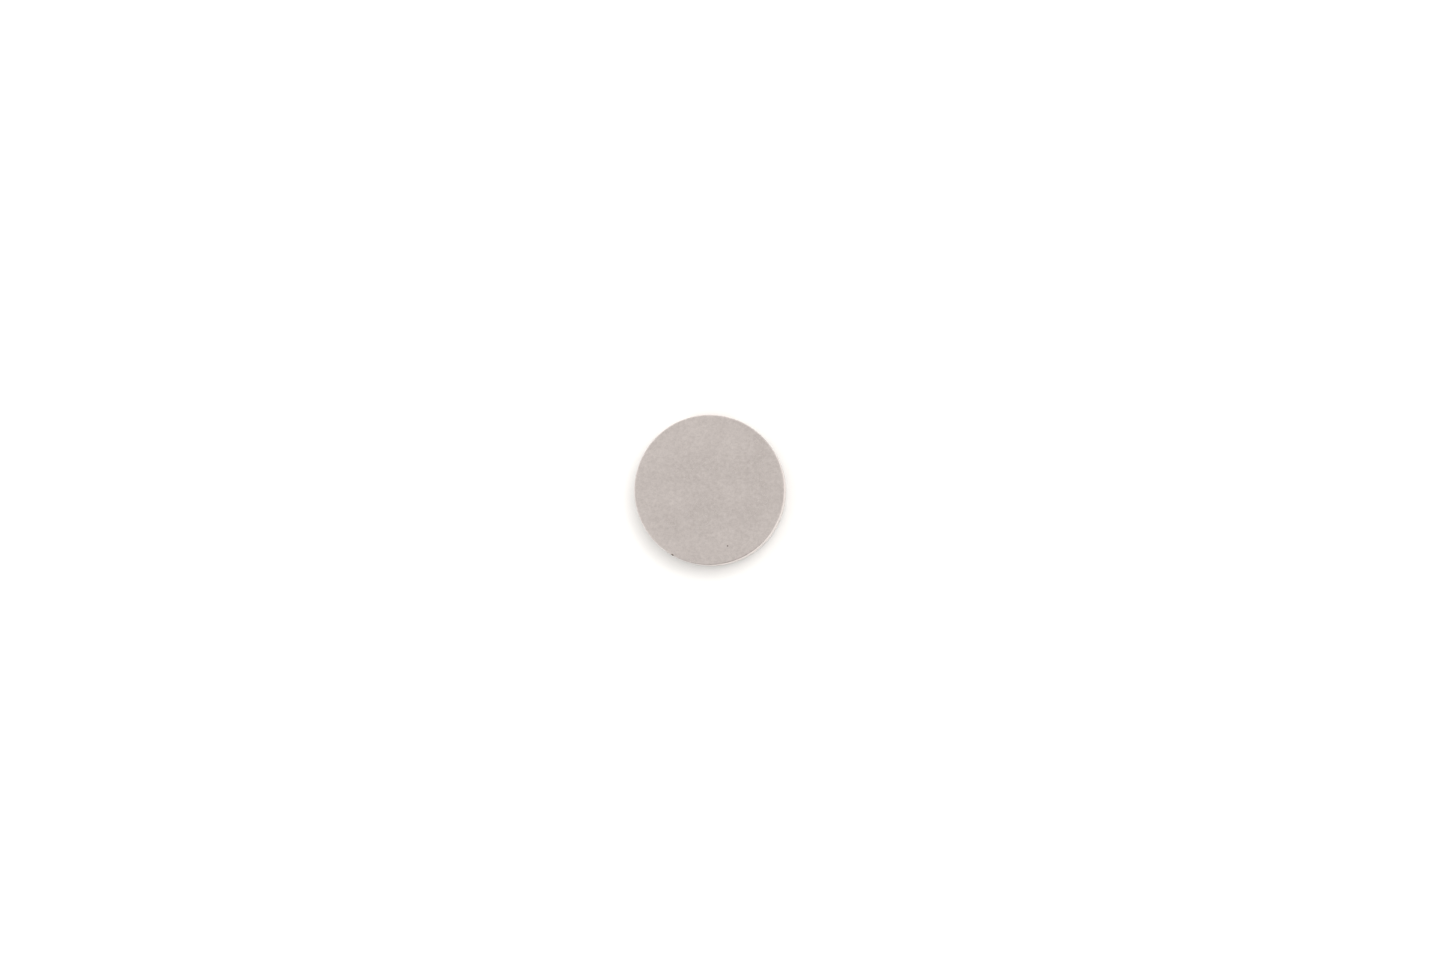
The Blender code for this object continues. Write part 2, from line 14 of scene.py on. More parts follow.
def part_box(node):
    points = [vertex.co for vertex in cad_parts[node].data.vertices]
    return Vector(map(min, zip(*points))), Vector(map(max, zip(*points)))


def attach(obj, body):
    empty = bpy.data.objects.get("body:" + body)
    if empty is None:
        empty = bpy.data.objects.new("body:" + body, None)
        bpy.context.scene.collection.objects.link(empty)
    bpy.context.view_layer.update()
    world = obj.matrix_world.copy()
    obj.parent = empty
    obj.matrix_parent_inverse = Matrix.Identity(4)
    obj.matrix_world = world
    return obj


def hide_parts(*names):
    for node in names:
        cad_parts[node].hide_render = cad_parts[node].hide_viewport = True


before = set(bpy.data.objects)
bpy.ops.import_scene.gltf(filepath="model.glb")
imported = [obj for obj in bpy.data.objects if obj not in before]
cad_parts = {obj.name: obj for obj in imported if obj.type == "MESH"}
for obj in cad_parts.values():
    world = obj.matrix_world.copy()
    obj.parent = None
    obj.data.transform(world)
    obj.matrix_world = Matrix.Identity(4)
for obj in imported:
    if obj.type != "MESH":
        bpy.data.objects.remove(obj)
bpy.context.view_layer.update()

# ---------------------------------------------------------------- base plate
# A disc blanked from steel sheet, with a collar drawn up for the shaft and a notch for the circuit's tail,
# zinc plated. It closes the can from below, and what stands still inside is fixed on it.


def srgb(code):
    """A colour from its sRGB hex code, as the linear values that a shader takes."""
    channels = [int(code[i : i + 2], 16) / 255 for i in (0, 2, 4)]
    linear = [c / 12.92 if c <= 0.04045 else ((c + 0.055) / 1.055) ** 2.4 for c in channels]
    return (*linear, 1.0)


def new_material(name):
    material = bpy.data.materials.new(name)
    material.use_nodes = True
    material.node_tree.nodes.clear()
    return material


def add_node(material, kind, inputs=None, **settings):
    """Adds a node with its settings. An input is a value, or the socket that feeds it."""
    node = material.node_tree.nodes.new("ShaderNode" + kind)
    for name, value in settings.items():
        setattr(node, name, value)
    for name, value in (inputs or {}).items():
        if isinstance(value, bpy.types.NodeSocket):
            material.node_tree.links.new(value, node.inputs[name])
        else:
            node.inputs[name].default_value = value
    return node


def per_mm(size):
    """The texture scale at which one cell of a pattern is this many millimetres across."""
    return 1000 / size


def box_mm(node):
    """A node's lowest and highest corners at rest, in millimetres."""
    low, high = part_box(node)
    return low * 1000, high * 1000


arc_step = math.radians(15)


def rounded(corners, closed):
    """A line through (x, y, radius) corners, with an arc at each corner that has a radius."""
    line = []
    count = len(corners)
    for i, (x, y, radius) in enumerate(corners):
        here = Vector((x, y))
        if radius == 0 or (not closed and i in (0, count - 1)):
            line.append(here)
            continue
        before = (Vector(corners[i - 1][:2]) - here).normalized()
        after = (Vector(corners[(i + 1) % count][:2]) - here).normalized()
        half = before.angle(after) / 2
        centre = here + (before + after).normalized() * radius / math.sin(half)
        start = here + before * radius / math.tan(half) - centre
        end = here + after * radius / math.tan(half) - centre
        turn = start.angle_signed(end)
        steps = max(3, round(abs(turn) / arc_step))
        for step in range(steps + 1):
            line.append(centre + Matrix.Rotation(-turn * step / steps, 2) @ start)
    return line


def lathe(line, steps, closed):
    """Turns a line of (radius, height) round the vertical axis, as a mesh."""
    form = bmesh.new()
    points = [form.verts.new((x, 0, y)) for x, y in line]
    edges = [form.edges.new(pair) for pair in zip(points, points[1:])]
    if closed:
        edges.append(form.edges.new((points[-1], points[0])))
    bmesh.ops.spin(
        form, geom=edges, cent=(0, 0, 0), axis=(0, 0, 1), angle=2 * math.pi, steps=steps, use_duplicate=False
    )
    bmesh.ops.remove_doubles(form, verts=form.verts, dist=1e-4)
    bmesh.ops.recalc_face_normals(form, faces=form.faces)
    return form


def block(low, high):
    """A box between two opposite corners, for cutting windows and notches."""
    form = bmesh.new()
    bmesh.ops.create_cube(form, size=1)
    for vertex in form.verts:
        vertex.co = [a + (b - a) * (v + 0.5) for a, b, v in zip(low, high, vertex.co)]
    return form


def combined(form, other, operation):
    """One form with another added to it or taken out of it."""
    pair = []
    for each in (form, other):
        mesh = bpy.data.meshes.new("boolean")
        each.to_mesh(mesh)
        each.free()
        pair.append(bpy.data.objects.new("boolean", mesh))
        bpy.context.scene.collection.objects.link(pair[-1])
    boolean = pair[0].modifiers.new("boolean", "BOOLEAN")
    boolean.operation = operation
    boolean.object = pair[1]
    bpy.context.view_layer.update()
    graph = bpy.context.evaluated_depsgraph_get()
    result = bmesh.new()
    result.from_mesh(bpy.data.meshes.new_from_object(pair[0].evaluated_get(graph)))
    for each in pair:
        bpy.data.objects.remove(each)
    return result


crease_angle = math.radians(32)


def put(name, form, material, body, replaces=()):
    """Puts a form in millimetres in the scene as a piece, with its finish and the body that it rides on."""
    mesh = bpy.data.meshes.new(name)
    form.to_mesh(mesh)
    form.free()
    mesh.transform(Matrix.Scale(0.001, 4))
    mesh.shade_smooth()
    mesh.set_sharp_from_angle(angle=crease_angle)
    mesh.materials.append(material)
    piece = bpy.data.objects.new(name, mesh)
    bpy.context.scene.collection.objects.link(piece)
    flat_faces = piece.modifiers.new("flat_faces", "WEIGHTED_NORMAL")
    flat_faces.keep_sharp = True
    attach(piece, body)
    if replaces:
        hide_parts(*replaces)
    return piece


base_low, base_high = box_mm("base_plate")
shaft_low, shaft_high = box_mm("shaft")
flex_low, flex_high = box_mm("flex_circuit")
sheet_gap = 0.01
plate_radius = base_high.x
plate_sheet = 0.25
plate_top = base_low.z + plate_sheet
hole_radius = shaft_high.x + sheet_gap
collar_radius = hole_radius + 0.26
plate_edge = 0.03

# The flexible circuit's tail folds round the plate's edge, through a notch a little wider than the tail.
tail_half = 1.3
window_half = tail_half + 0.12
fold_radius = (flex_high.z - flex_low.z) / 2
tail_edge = flex_high.y - fold_radius

plate_line = rounded(
    [
        (plate_radius, base_low.z, plate_edge),
        (plate_radius, plate_top, 0.02),
        (collar_radius, plate_top, 0.06),
        (collar_radius, base_high.z, plate_edge),
        (hole_radius, base_high.z, plate_edge),
        (hole_radius, base_low.z, plate_edge),
    ],
    closed=True,
)
notch = block((-window_half, tail_edge, 0), (window_half, plate_radius + 1, plate_top + 0.1))
plate_form = combined(lathe(plate_line, 192, closed=True), notch, "DIFFERENCE")

# Bright zinc over rolled sheet: cool silver with streaks along the rolling direction and a faint frost.
zinc = new_material("bright_zinc_plating")
place = add_node(zinc, "TexCoord").outputs["Object"]
along_roll = add_node(zinc, "Mapping", {"Vector": place, "Scale": (0.06, 1.0, 1.0)})
streaks = add_node(
    zinc,
    "TexNoise",
    {"Vector": along_roll.outputs[0], "Scale": per_mm(0.08), "Detail": 3.0, "Roughness": 0.6},
)
frost = add_node(zinc, "TexNoise", {"Vector": place, "Scale": per_mm(0.3), "Detail": 2.0})
zinc_colour = add_node(
    zinc,
    "Mix",
    {0: frost.outputs["Fac"], 6: srgb("b3b8bc"), 7: srgb("ccd0d3")},
    data_type="RGBA",
)
zinc_roughness = add_node(
    zinc, "MapRange", {"Value": streaks.outputs["Fac"], "To Min": 0.28, "To Max": 0.48}
)
zinc_bump = add_node(
    zinc, "Bump", {"Height": streaks.outputs["Fac"], "Strength": 0.4, "Distance": 0.003 / 1000}
)
zinc_surface = add_node(
    zinc,
    "BsdfPrincipled",
    {
        "Base Color": zinc_colour.outputs[2],
        "Metallic": 1.0,
        "Roughness": zinc_roughness.outputs[0],
        "Normal": zinc_bump.outputs[0],
    },
)
add_node(zinc, "OutputMaterial", {"Surface": zinc_surface.outputs[0]})

put("closing_plate", plate_form, zinc, "housing", ["base_plate"])

# ---------------------------------------------------------------- shaft
# A centreless ground pin of hardened steel, chamfered by tumbling and pressed into the base plate's
# collar. It stands still, and the rotor turns on it.

shaft_edge = 0.05
shaft_line = rounded(
    [
        (0, shaft_low.z, 0),
        (shaft_high.x, shaft_low.z, shaft_edge),
        (shaft_high.x, shaft_high.z, shaft_edge),
        (0, shaft_high.z, 0),
    ],
    closed=False,
)

# Ground steel: almost a mirror, with fine rings round it from the wheel.
ground_steel = new_material("ground_hardened_steel")
place = add_node(ground_steel, "TexCoord").outputs["Object"]
up_only = add_node(ground_steel, "Mapping", {"Vector": place, "Scale": (0.05, 0.05, 1.0)})
wheel_size = 0.03  # real grinding lines are about 0.002 mm apart, so these are drawn coarser
wheel_lines = add_node(
    ground_steel, "TexNoise", {"Vector": up_only.outputs[0], "Scale": per_mm(wheel_size), "Detail": 4.0}
)
shaft_roughness = add_node(
    ground_steel, "MapRange", {"Value": wheel_lines.outputs["Fac"], "To Min": 0.12, "To Max": 0.26}
)
shaft_bump = add_node(
    ground_steel, "Bump", {"Height": wheel_lines.outputs["Fac"], "Strength": 0.3, "Distance": 0.001 / 1000}
)
shaft_surface = add_node(
    ground_steel,
    "BsdfPrincipled",
    {
        "Base Color": srgb("d2d3d5"),
        "Metallic": 1.0,
        "Roughness": shaft_roughness.outputs[0],
        "Normal": shaft_bump.outputs[0],
    },
)
add_node(ground_steel, "OutputMaterial", {"Surface": shaft_surface.outputs[0]})

put("shaft_pin", lathe(shaft_line, 64, closed=False), ground_steel, "housing", ["shaft"])

# ---------------------------------------------------------------- flexible circuit
# Copper tracks between two films of polyimide. A ring lies glued on the base plate, and the tail folds
# round the plate's edge through the can's window and lies flat underneath.

contact_low, contact_high = box_mm("contact_pad_positive")
film_sheet = 0.10
film_bore = collar_radius + 0.07
film_radius = 4.33
tail_end = contact_low.y - 0.25
fold_steps = 24


def swept(stations, width, lift):
    """A strip through stations of (point, across, out): its underside is on the points."""
    form = bmesh.new()
    rows = []
    for point, across, out in stations:
        half = across * width / 2
        rise = out * lift
        corners = (point - half, point + half, point + half + rise, point - half + rise)
        rows.append([form.verts.new(corner) for corner in corners])
    for one, two in zip(rows, rows[1:]):
        for i in range(4):
            form.faces.new((one[i - 1], one[i], two[i], two[i - 1]))
    form.faces.new(rows[0])
    form.faces.new(reversed(rows[-1]))
    bmesh.ops.recalc_face_normals(form, faces=form.faces)
    return form


def fold_stations(x, radius):
    """Stations round the tail's fold, from its top to its underside."""
    middle = Vector((x, tail_edge, flex_high.z - fold_radius))
    stations = []
    for step in range(fold_steps + 1):
        turn = math.pi * step / fold_steps
        out = Vector((0, math.sin(turn), math.cos(turn)))
        stations.append((middle + out * radius, Vector((1, 0, 0)), out))
    return stations


film_underside = flex_high.z - film_sheet
film_line = [
    Vector((film_radius, film_underside)),
    Vector((film_radius, flex_high.z)),
    Vector((film_bore, flex_high.z)),
    Vector((film_bore, film_underside)),
]
across_tail = Vector((1, 0, 0))
upward = Vector((0, 0, 1))
tail_root = film_radius - 0.6
tail_stations = [(Vector((0, tail_root, film_underside)), across_tail, upward)]
tail_stations += fold_stations(0, fold_radius - film_sheet)
tail_stations.append((Vector((0, tail_end, flex_low.z + film_sheet)), across_tail, -upward))
tail_form = swept(tail_stations, 2 * tail_half, film_sheet)
film_form = combined(lathe(film_line, 192, closed=True), tail_form, "UNION")

# Polyimide film: clear amber with a soft gloss, slightly uneven from the glue under it.
polyimide = new_material("polyimide_film")
place = add_node(polyimide, "TexCoord").outputs["Object"]
glue = add_node(polyimide, "TexNoise", {"Vector": place, "Scale": per_mm(0.5), "Detail": 3.0})
film_colour = add_node(
    polyimide, "Mix", {0: glue.outputs["Fac"], 6: srgb("a8631f"), 7: srgb("c98432")}, data_type="RGBA"
)
film_roughness = add_node(
    polyimide, "MapRange", {"Value": glue.outputs["Fac"], "To Min": 0.22, "To Max": 0.4}
)
film_bump = add_node(
    polyimide, "Bump", {"Height": glue.outputs["Fac"], "Strength": 0.2, "Distance": 0.006 / 1000}
)
film_surface = add_node(
    polyimide,
    "BsdfPrincipled",
    {
        "Base Color": film_colour.outputs[2],
        "Roughness": film_roughness.outputs[0],
        "IOR": 1.7,
        "Normal": film_bump.outputs[0],
    },
)
add_node(polyimide, "OutputMaterial", {"Surface": film_surface.outputs[0]})

put("circuit_film", film_form, polyimide, "housing", ["flex_circuit"])

# The tracks stand up a little under the cover film. Each runs from its brush's foot to the tail, round the
# fold and on to its contact pad.
dot_low, dot_high = box_mm("brush_solder_positive")
track_width = 0.42
track_lift = 0.007
lane = (contact_low.x + contact_high.x) / 2
brush_lane = (dot_low.x + dot_high.x) / 2
foot_y = (dot_low.y + dot_high.y) / 2


def flat_stations(line, z):
    """Stations along a 2-D line on a level surface."""
    points = [Vector((p.x, p.y, z)) for p in line]
    stations = []
    for i, point in enumerate(points):
        ahead = points[min(i + 1, len(points) - 1)] - points[max(i - 1, 0)]
        stations.append((point, Vector((-ahead.y, ahead.x, 0)).normalized(), upward))
    return stations


# Copper seen through amber film: the film's colour, redder and shinier, over the etched track.
film_on_copper = new_material("copper_track_under_polyimide")
place = add_node(film_on_copper, "TexCoord").outputs["Object"]
etch = add_node(film_on_copper, "TexNoise", {"Vector": place, "Scale": per_mm(0.07), "Detail": 3.0})
track_colour = add_node(
    film_on_copper, "Mix", {0: etch.outputs["Fac"], 6: srgb("a9541f"), 7: srgb("cf7a35")}, data_type="RGBA"
)
track_bump = add_node(
    film_on_copper, "Bump", {"Height": etch.outputs["Fac"], "Strength": 0.2, "Distance": 0.003 / 1000}
)
track_surface = add_node(
    film_on_copper,
    "BsdfPrincipled",
    {
        "Base Color": track_colour.outputs[2],
        "Metallic": 0.75,
        "Roughness": 0.34,
        "Coat Weight": 0.5,
        "Coat Roughness": 0.2,
        "Normal": track_bump.outputs[0],
    },
)
add_node(film_on_copper, "OutputMaterial", {"Surface": track_surface.outputs[0]})

bypass = 1.95  # the positive track keeps this far out as it passes the shaft
lane_start = 3.2
positive_route = [
    (brush_lane, foot_y, 0),
    (bypass, foot_y + 0.7, 0.3),
    (bypass, 1.6, 0.6),
    (lane, lane_start, 0.6),
    (lane, tail_edge, 0),
]
negative_route = [
    (foot_y, brush_lane, 0),
    (foot_y, 2.1, 0.4),
    (-lane, lane_start, 0.4),
    (-lane, tail_edge, 0),
]
for name, side, route in (
    ("circuit_track_positive", 1, positive_route),
    ("circuit_track_negative", -1, negative_route),
):
    stations = flat_stations(rounded(route, closed=False), flex_high.z)
    stations[-1:] = [(p, -across_tail, out) for p, _, out in fold_stations(side * lane, fold_radius)]
    track_end = Vector((side * lane, contact_high.y - 0.1, flex_low.z))
    stations.append((track_end, -across_tail, -upward))
    put(name, swept(stations, track_width, track_lift), film_on_copper, "housing")

# ---------------------------------------------------------------- contact pads
# Two copper pads on the folded tail, bare of cover film and plated with gold, for the spring contacts or
# the leads of whatever drives the motor.


def slab(outline, low, high, edge):
    """A flat piece with this outline, its rims rounded over by the edge radius."""
    form = bmesh.new()
    floor_points = [form.verts.new((x, y, low)) for x, y in outline]
    lid_points = [form.verts.new((x, y, high)) for x, y in outline]
    form.faces.new(reversed(floor_points))
    form.faces.new(lid_points)
    for i in range(len(outline)):
        form.faces.new((floor_points[i - 1], floor_points[i], lid_points[i], lid_points[i - 1]))
    bmesh.ops.recalc_face_normals(form, faces=form.faces)
    rims = [e for e in form.edges if abs(e.verts[0].co.z - e.verts[1].co.z) < 1e-6]
    bmesh.ops.bevel(form, geom=rims, offset=edge, segments=2, profile=0.5, affect="EDGES")
    return form


# Immersion gold over nickel: warm yellow, satin from the etched copper under it.
gold = new_material("immersion_gold_plating")
place = add_node(gold, "TexCoord").outputs["Object"]
nodules = add_node(gold, "TexNoise", {"Vector": place, "Scale": per_mm(0.06), "Detail": 3.0})
gold_tone = add_node(gold, "TexNoise", {"Vector": place, "Scale": per_mm(0.6), "Detail": 2.0})
gold_colour = add_node(
    gold, "Mix", {0: gold_tone.outputs["Fac"], 6: srgb("e3b55c"), 7: srgb("f3cd7b")}, data_type="RGBA"
)
gold_roughness = add_node(
    gold, "MapRange", {"Value": nodules.outputs["Fac"], "To Min": 0.22, "To Max": 0.42}
)
gold_bump = add_node(
    gold, "Bump", {"Height": nodules.outputs["Fac"], "Strength": 0.35, "Distance": 0.004 / 1000}
)
gold_surface = add_node(
    gold,
    "BsdfPrincipled",
    {
        "Base Color": gold_colour.outputs[2],
        "Metallic": 1.0,
        "Roughness": gold_roughness.outputs[0],
        "Normal": gold_bump.outputs[0],
    },
)
add_node(gold, "OutputMaterial", {"Surface": gold_surface.outputs[0]})

corner = 0.12
for node in ("contact_pad_positive", "contact_pad_negative"):
    low, high = box_mm(node)
    pad_line = rounded(
        [(low.x, low.y, corner), (high.x, low.y, corner), (high.x, high.y, corner), (low.x, high.y, corner)],
        closed=True,
    )
    pad_form = slab(pad_line, low.z, high.z, 0.008)
    put(node.replace("pad", "land"), pad_form, gold, "housing", [node])

# ---------------------------------------------------------------- ring magnet
# A neodymium ring pressed from powder, magnetised in poles through its thickness, then nickel plated and
# glued on the circuit.

magnet_low, magnet_high = box_mm("ring_magnet")
magnet_bore = 2.3
magnet_edge = 0.06
magnet_line = rounded(
    [
        (magnet_high.x, magnet_low.z, magnet_edge),
        (magnet_high.x, magnet_high.z, magnet_edge),
        (magnet_bore, magnet_high.z, magnet_edge),
        (magnet_bore, magnet_low.z, magnet_edge),
    ],
    closed=True,
)

# Bright nickel over pressed powder: shiny, with the orange peel of the grains below and a rare pit.
magnet_nickel = new_material("bright_nickel_on_magnet")
place = add_node(magnet_nickel, "TexCoord").outputs["Object"]
peel = add_node(magnet_nickel, "TexNoise", {"Vector": place, "Scale": per_mm(0.12), "Detail": 2.0})
pits = add_node(magnet_nickel, "TexVoronoi", {"Vector": place, "Scale": per_mm(0.5)})
pit_depth = add_node(
    magnet_nickel,
    "MapRange",
    {"Value": pits.outputs["Distance"], "From Min": 0.01, "From Max": 0.05},
)
magnet_relief = add_node(
    magnet_nickel, "Math", {0: peel.outputs["Fac"], 1: 0.6, 2: pit_depth.outputs[0]}, operation="MULTIPLY_ADD"
)
magnet_colour = add_node(
    magnet_nickel, "Mix", {0: pit_depth.outputs[0], 6: srgb("8d8982"), 7: srgb("bdb8b0")}, data_type="RGBA"
)
magnet_roughness = add_node(
    magnet_nickel, "MapRange", {"Value": peel.outputs["Fac"], "To Min": 0.14, "To Max": 0.3}
)
magnet_bump = add_node(
    magnet_nickel, "Bump", {"Height": magnet_relief.outputs[0], "Strength": 0.4, "Distance": 0.006 / 1000}
)
magnet_surface = add_node(
    magnet_nickel,
    "BsdfPrincipled",
    {
        "Base Color": magnet_colour.outputs[2],
        "Metallic": 1.0,
        "Roughness": magnet_roughness.outputs[0],
        "Normal": magnet_bump.outputs[0],
    },
)
add_node(magnet_nickel, "OutputMaterial", {"Surface": magnet_surface.outputs[0]})

magnet_form = lathe(magnet_line, 192, closed=True)
put("magnet_ring", magnet_form, magnet_nickel, "housing", ["ring_magnet"])

# ---------------------------------------------------------------- brushes
# Two leaves stamped from a silver and palladium spring alloy, each slit into two fingers whose curled tips
# press up on the commutator. Each is soldered by its foot to the circuit.


def copy_of(node, edge):
    """A CAD node's own shape as a form, with its sharp edges rounded over by the edge radius."""
    form = bmesh.new()
    form.from_mesh(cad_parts[node].data)
    bmesh.ops.scale(form, verts=form.verts, vec=(1000, 1000, 1000))
    bmesh.ops.remove_doubles(form, verts=form.verts, dist=1e-4)
    bmesh.ops.dissolve_limit(
        form,
        angle_limit=math.radians(0.5),
        verts=form.verts,
        edges=form.edges,
        use_dissolve_boundaries=False,
    )
    sharp = [e for e in form.edges if e.calc_face_angle(0) > math.radians(40)]
    bmesh.ops.bevel(
        form, geom=sharp, offset=edge, segments=2, profile=0.5, affect="EDGES", clamp_overlap=True
    )
    bmesh.ops.recalc_face_normals(form, faces=form.faces)
    return form


# Stamped silver alloy: pale warm silver with fine rolling lines, and a duller, worn patch on the tips.
silver_alloy = new_material("stamped_silver_alloy")
place = add_node(silver_alloy, "TexCoord").outputs["Object"]
rolling = add_node(silver_alloy, "Mapping", {"Vector": place, "Scale": (1.0, 0.1, 1.0)})
roll_lines = add_node(
    silver_alloy, "TexNoise", {"Vector": rolling.outputs[0], "Scale": per_mm(0.04), "Detail": 3.0}
)
leaf_height = add_node(silver_alloy, "SeparateXYZ", {"Vector": place}).outputs["Z"]
brush_top = box_mm("brush_positive")[1].z
worn_tip = add_node(
    silver_alloy,
    "MapRange",
    {
        "Value": leaf_height,
        "From Min": (brush_top - 0.02) / 1000,
        "From Max": (brush_top - 0.004) / 1000,
    },
)
leaf_colour = add_node(
    silver_alloy, "Mix", {0: worn_tip.outputs[0], 6: srgb("d9d5cb"), 7: srgb("8f8676")}, data_type="RGBA"
)
leaf_roughness = add_node(
    silver_alloy, "MapRange", {"Value": roll_lines.outputs["Fac"], "To Min": 0.2, "To Max": 0.38}
)
leaf_bump = add_node(
    silver_alloy, "Bump", {"Height": roll_lines.outputs["Fac"], "Strength": 0.3, "Distance": 0.002 / 1000}
)
leaf_surface = add_node(
    silver_alloy,
    "BsdfPrincipled",
    {
        "Base Color": leaf_colour.outputs[2],
        "Metallic": 1.0,
        "Roughness": leaf_roughness.outputs[0],
        "Normal": leaf_bump.outputs[0],
    },
)
add_node(silver_alloy, "OutputMaterial", {"Surface": leaf_surface.outputs[0]})

for node in ("brush_positive", "brush_negative"):
    leaf_form = copy_of(node, 0.008)
    put(node.replace("brush", "brush_leaf"), leaf_form, silver_alloy, "housing", [node])

# ---------------------------------------------------------------- brush solder
# A dot of lead-free solder melted over each brush's foot. It holds the foot to its track, and it wetted
# the silver as it flowed.


def moved(form, x, y):
    bmesh.ops.translate(form, verts=form.verts, vec=(x, y, 0))
    return form


def solder_bead(node):
    """A bead that has wetted its seat: a low dome with a hollow curve where it meets the metal."""
    low, high = box_mm(node)
    radius = (high.x - low.x) / 2
    line = [(0, low.z)]
    steps = 12
    for step in range(steps + 1):
        out = 1 - step / steps
        line.append((radius * out, low.z + (high.z - low.z) * (math.cos(math.pi * out) + 1) / 2))
    return moved(lathe(line, 40, closed=False), (low.x + high.x) / 2, (low.y + high.y) / 2)


# Lead-free solder: bright tin that froze with a frosty, slightly dimpled skin.
solder = new_material("frosted_tin_solder")
place = add_node(solder, "TexCoord").outputs["Object"]
dimples = add_node(solder, "TexVoronoi", {"Vector": place, "Scale": per_mm(0.05)}, feature="SMOOTH_F1")
solder_tone = add_node(solder, "TexNoise", {"Vector": place, "Scale": per_mm(0.1), "Detail": 2.0})
solder_colour = add_node(
    solder, "Mix", {0: solder_tone.outputs["Fac"], 6: srgb("b4b6b8"), 7: srgb("d6d7d8")}, data_type="RGBA"
)
solder_roughness = add_node(
    solder, "MapRange", {"Value": solder_tone.outputs["Fac"], "To Min": 0.22, "To Max": 0.42}
)
solder_bump = add_node(
    solder, "Bump", {"Height": dimples.outputs["Distance"], "Strength": 0.3, "Distance": 0.004 / 1000}
)
solder_surface = add_node(
    solder,
    "BsdfPrincipled",
    {
        "Base Color": solder_colour.outputs[2],
        "Metallic": 1.0,
        "Roughness": solder_roughness.outputs[0],
        "Normal": solder_bump.outputs[0],
    },
)
add_node(solder, "OutputMaterial", {"Surface": solder_surface.outputs[0]})

for node in ("brush_solder_positive", "brush_solder_negative"):
    put(node.replace("solder", "bead"), solder_bead(node), solder, "housing", [node])

# ---------------------------------------------------------------- thrust washers
# Rings punched from slippery plastic film. One lies under the bearing and one over it, both loose on the
# shaft, so that each can turn with the rotor or stay still.

# Filled polyester film: milky, waxy and a little see-through, with the bright edge of a clean punch.
washer_film = new_material("punched_polyester_film")
place = add_node(washer_film, "TexCoord").outputs["Object"]
haze = add_node(washer_film, "TexNoise", {"Vector": place, "Scale": per_mm(0.08), "Detail": 3.0})
washer_colour = add_node(
    washer_film, "Mix", {0: haze.outputs["Fac"], 6: srgb("d8d2bf"), 7: srgb("ece7d8")}, data_type="RGBA"
)
washer_roughness = add_node(
    washer_film, "MapRange", {"Value": haze.outputs["Fac"], "To Min": 0.3, "To Max": 0.5}
)
washer_bump = add_node(
    washer_film, "Bump", {"Height": haze.outputs["Fac"], "Strength": 0.2, "Distance": 0.002 / 1000}
)
washer_surface = add_node(
    washer_film,
    "BsdfPrincipled",
    {
        "Base Color": washer_colour.outputs[2],
        "Roughness": washer_roughness.outputs[0],
        "IOR": 1.6,
        "Subsurface Weight": 0.4,
        "Subsurface Scale": 0.2 / 1000,
        "Normal": washer_bump.outputs[0],
    },
)
add_node(washer_film, "OutputMaterial", {"Surface": washer_surface.outputs[0]})

washer_bore = shaft_high.x + 0.05
punch_roll = 0.02
punch_break = 0.012
for node, body in (("lower_washer", "lower_thrust_washer"), ("upper_washer", "upper_thrust_washer")):
    low, high = box_mm(node)
    washer_line = rounded(
        [
            (high.x, low.z, punch_break),
            (high.x, high.z, punch_roll),
            (washer_bore, high.z, punch_roll),
            (washer_bore, low.z, punch_break),
        ],
        closed=True,
    )
    washer_form = lathe(washer_line, 64, closed=True)
    put(node.replace("washer", "thrust_ring"), washer_form, washer_film, body, [node])

# ---------------------------------------------------------------- bearing
# A plain bush pressed and sintered from bronze powder, and soaked in oil. The rotor's resin is moulded
# round it.

bearing_low, bearing_high = box_mm("bearing")
bearing_bore = shaft_high.x + 0.02
bearing_edge = 0.05
bearing_line = rounded(
    [
        (bearing_high.x, bearing_low.z, bearing_edge),
        (bearing_high.x, bearing_high.z, bearing_edge),
        (bearing_bore, bearing_high.z, bearing_edge),
        (bearing_bore, bearing_low.z, bearing_edge),
    ],
    closed=True,
)

# Sintered bronze: brown gold, speckled with dark pores and slightly wet with oil.
sintered_bronze = new_material("oiled_sintered_bronze")
place = add_node(sintered_bronze, "TexCoord").outputs["Object"]
pore_size = 0.05  # real pores are about 0.01 mm across, so these are drawn coarser
pores = add_node(sintered_bronze, "TexVoronoi", {"Vector": place, "Scale": per_mm(pore_size)})
open_pore = add_node(
    sintered_bronze, "MapRange", {"Value": pores.outputs["Distance"], "From Min": 0.12, "From Max": 0.3}
)
particles = add_node(sintered_bronze, "TexNoise", {"Vector": place, "Scale": per_mm(0.09), "Detail": 3.0})
powder_colour = add_node(
    sintered_bronze,
    "Mix",
    {0: particles.outputs["Fac"], 6: srgb("8f6a3d"), 7: srgb("b98e57")},
    data_type="RGBA",
)
bronze_colour = add_node(
    sintered_bronze,
    "Mix",
    {0: open_pore.outputs[0], 6: srgb("33261a"), 7: powder_colour.outputs[2]},
    data_type="RGBA",
)
bronze_roughness = add_node(
    sintered_bronze, "MapRange", {"Value": particles.outputs["Fac"], "To Min": 0.34, "To Max": 0.56}
)
bronze_bump = add_node(
    sintered_bronze, "Bump", {"Height": open_pore.outputs[0], "Strength": 0.5, "Distance": 0.006 / 1000}
)
bronze_surface = add_node(
    sintered_bronze,
    "BsdfPrincipled",
    {
        "Base Color": bronze_colour.outputs[2],
        "Metallic": 0.9,
        "Roughness": bronze_roughness.outputs[0],
        "Coat Weight": 0.15,
        "Coat Roughness": 0.1,
        "Normal": bronze_bump.outputs[0],
    },
)
add_node(sintered_bronze, "OutputMaterial", {"Surface": bronze_surface.outputs[0]})

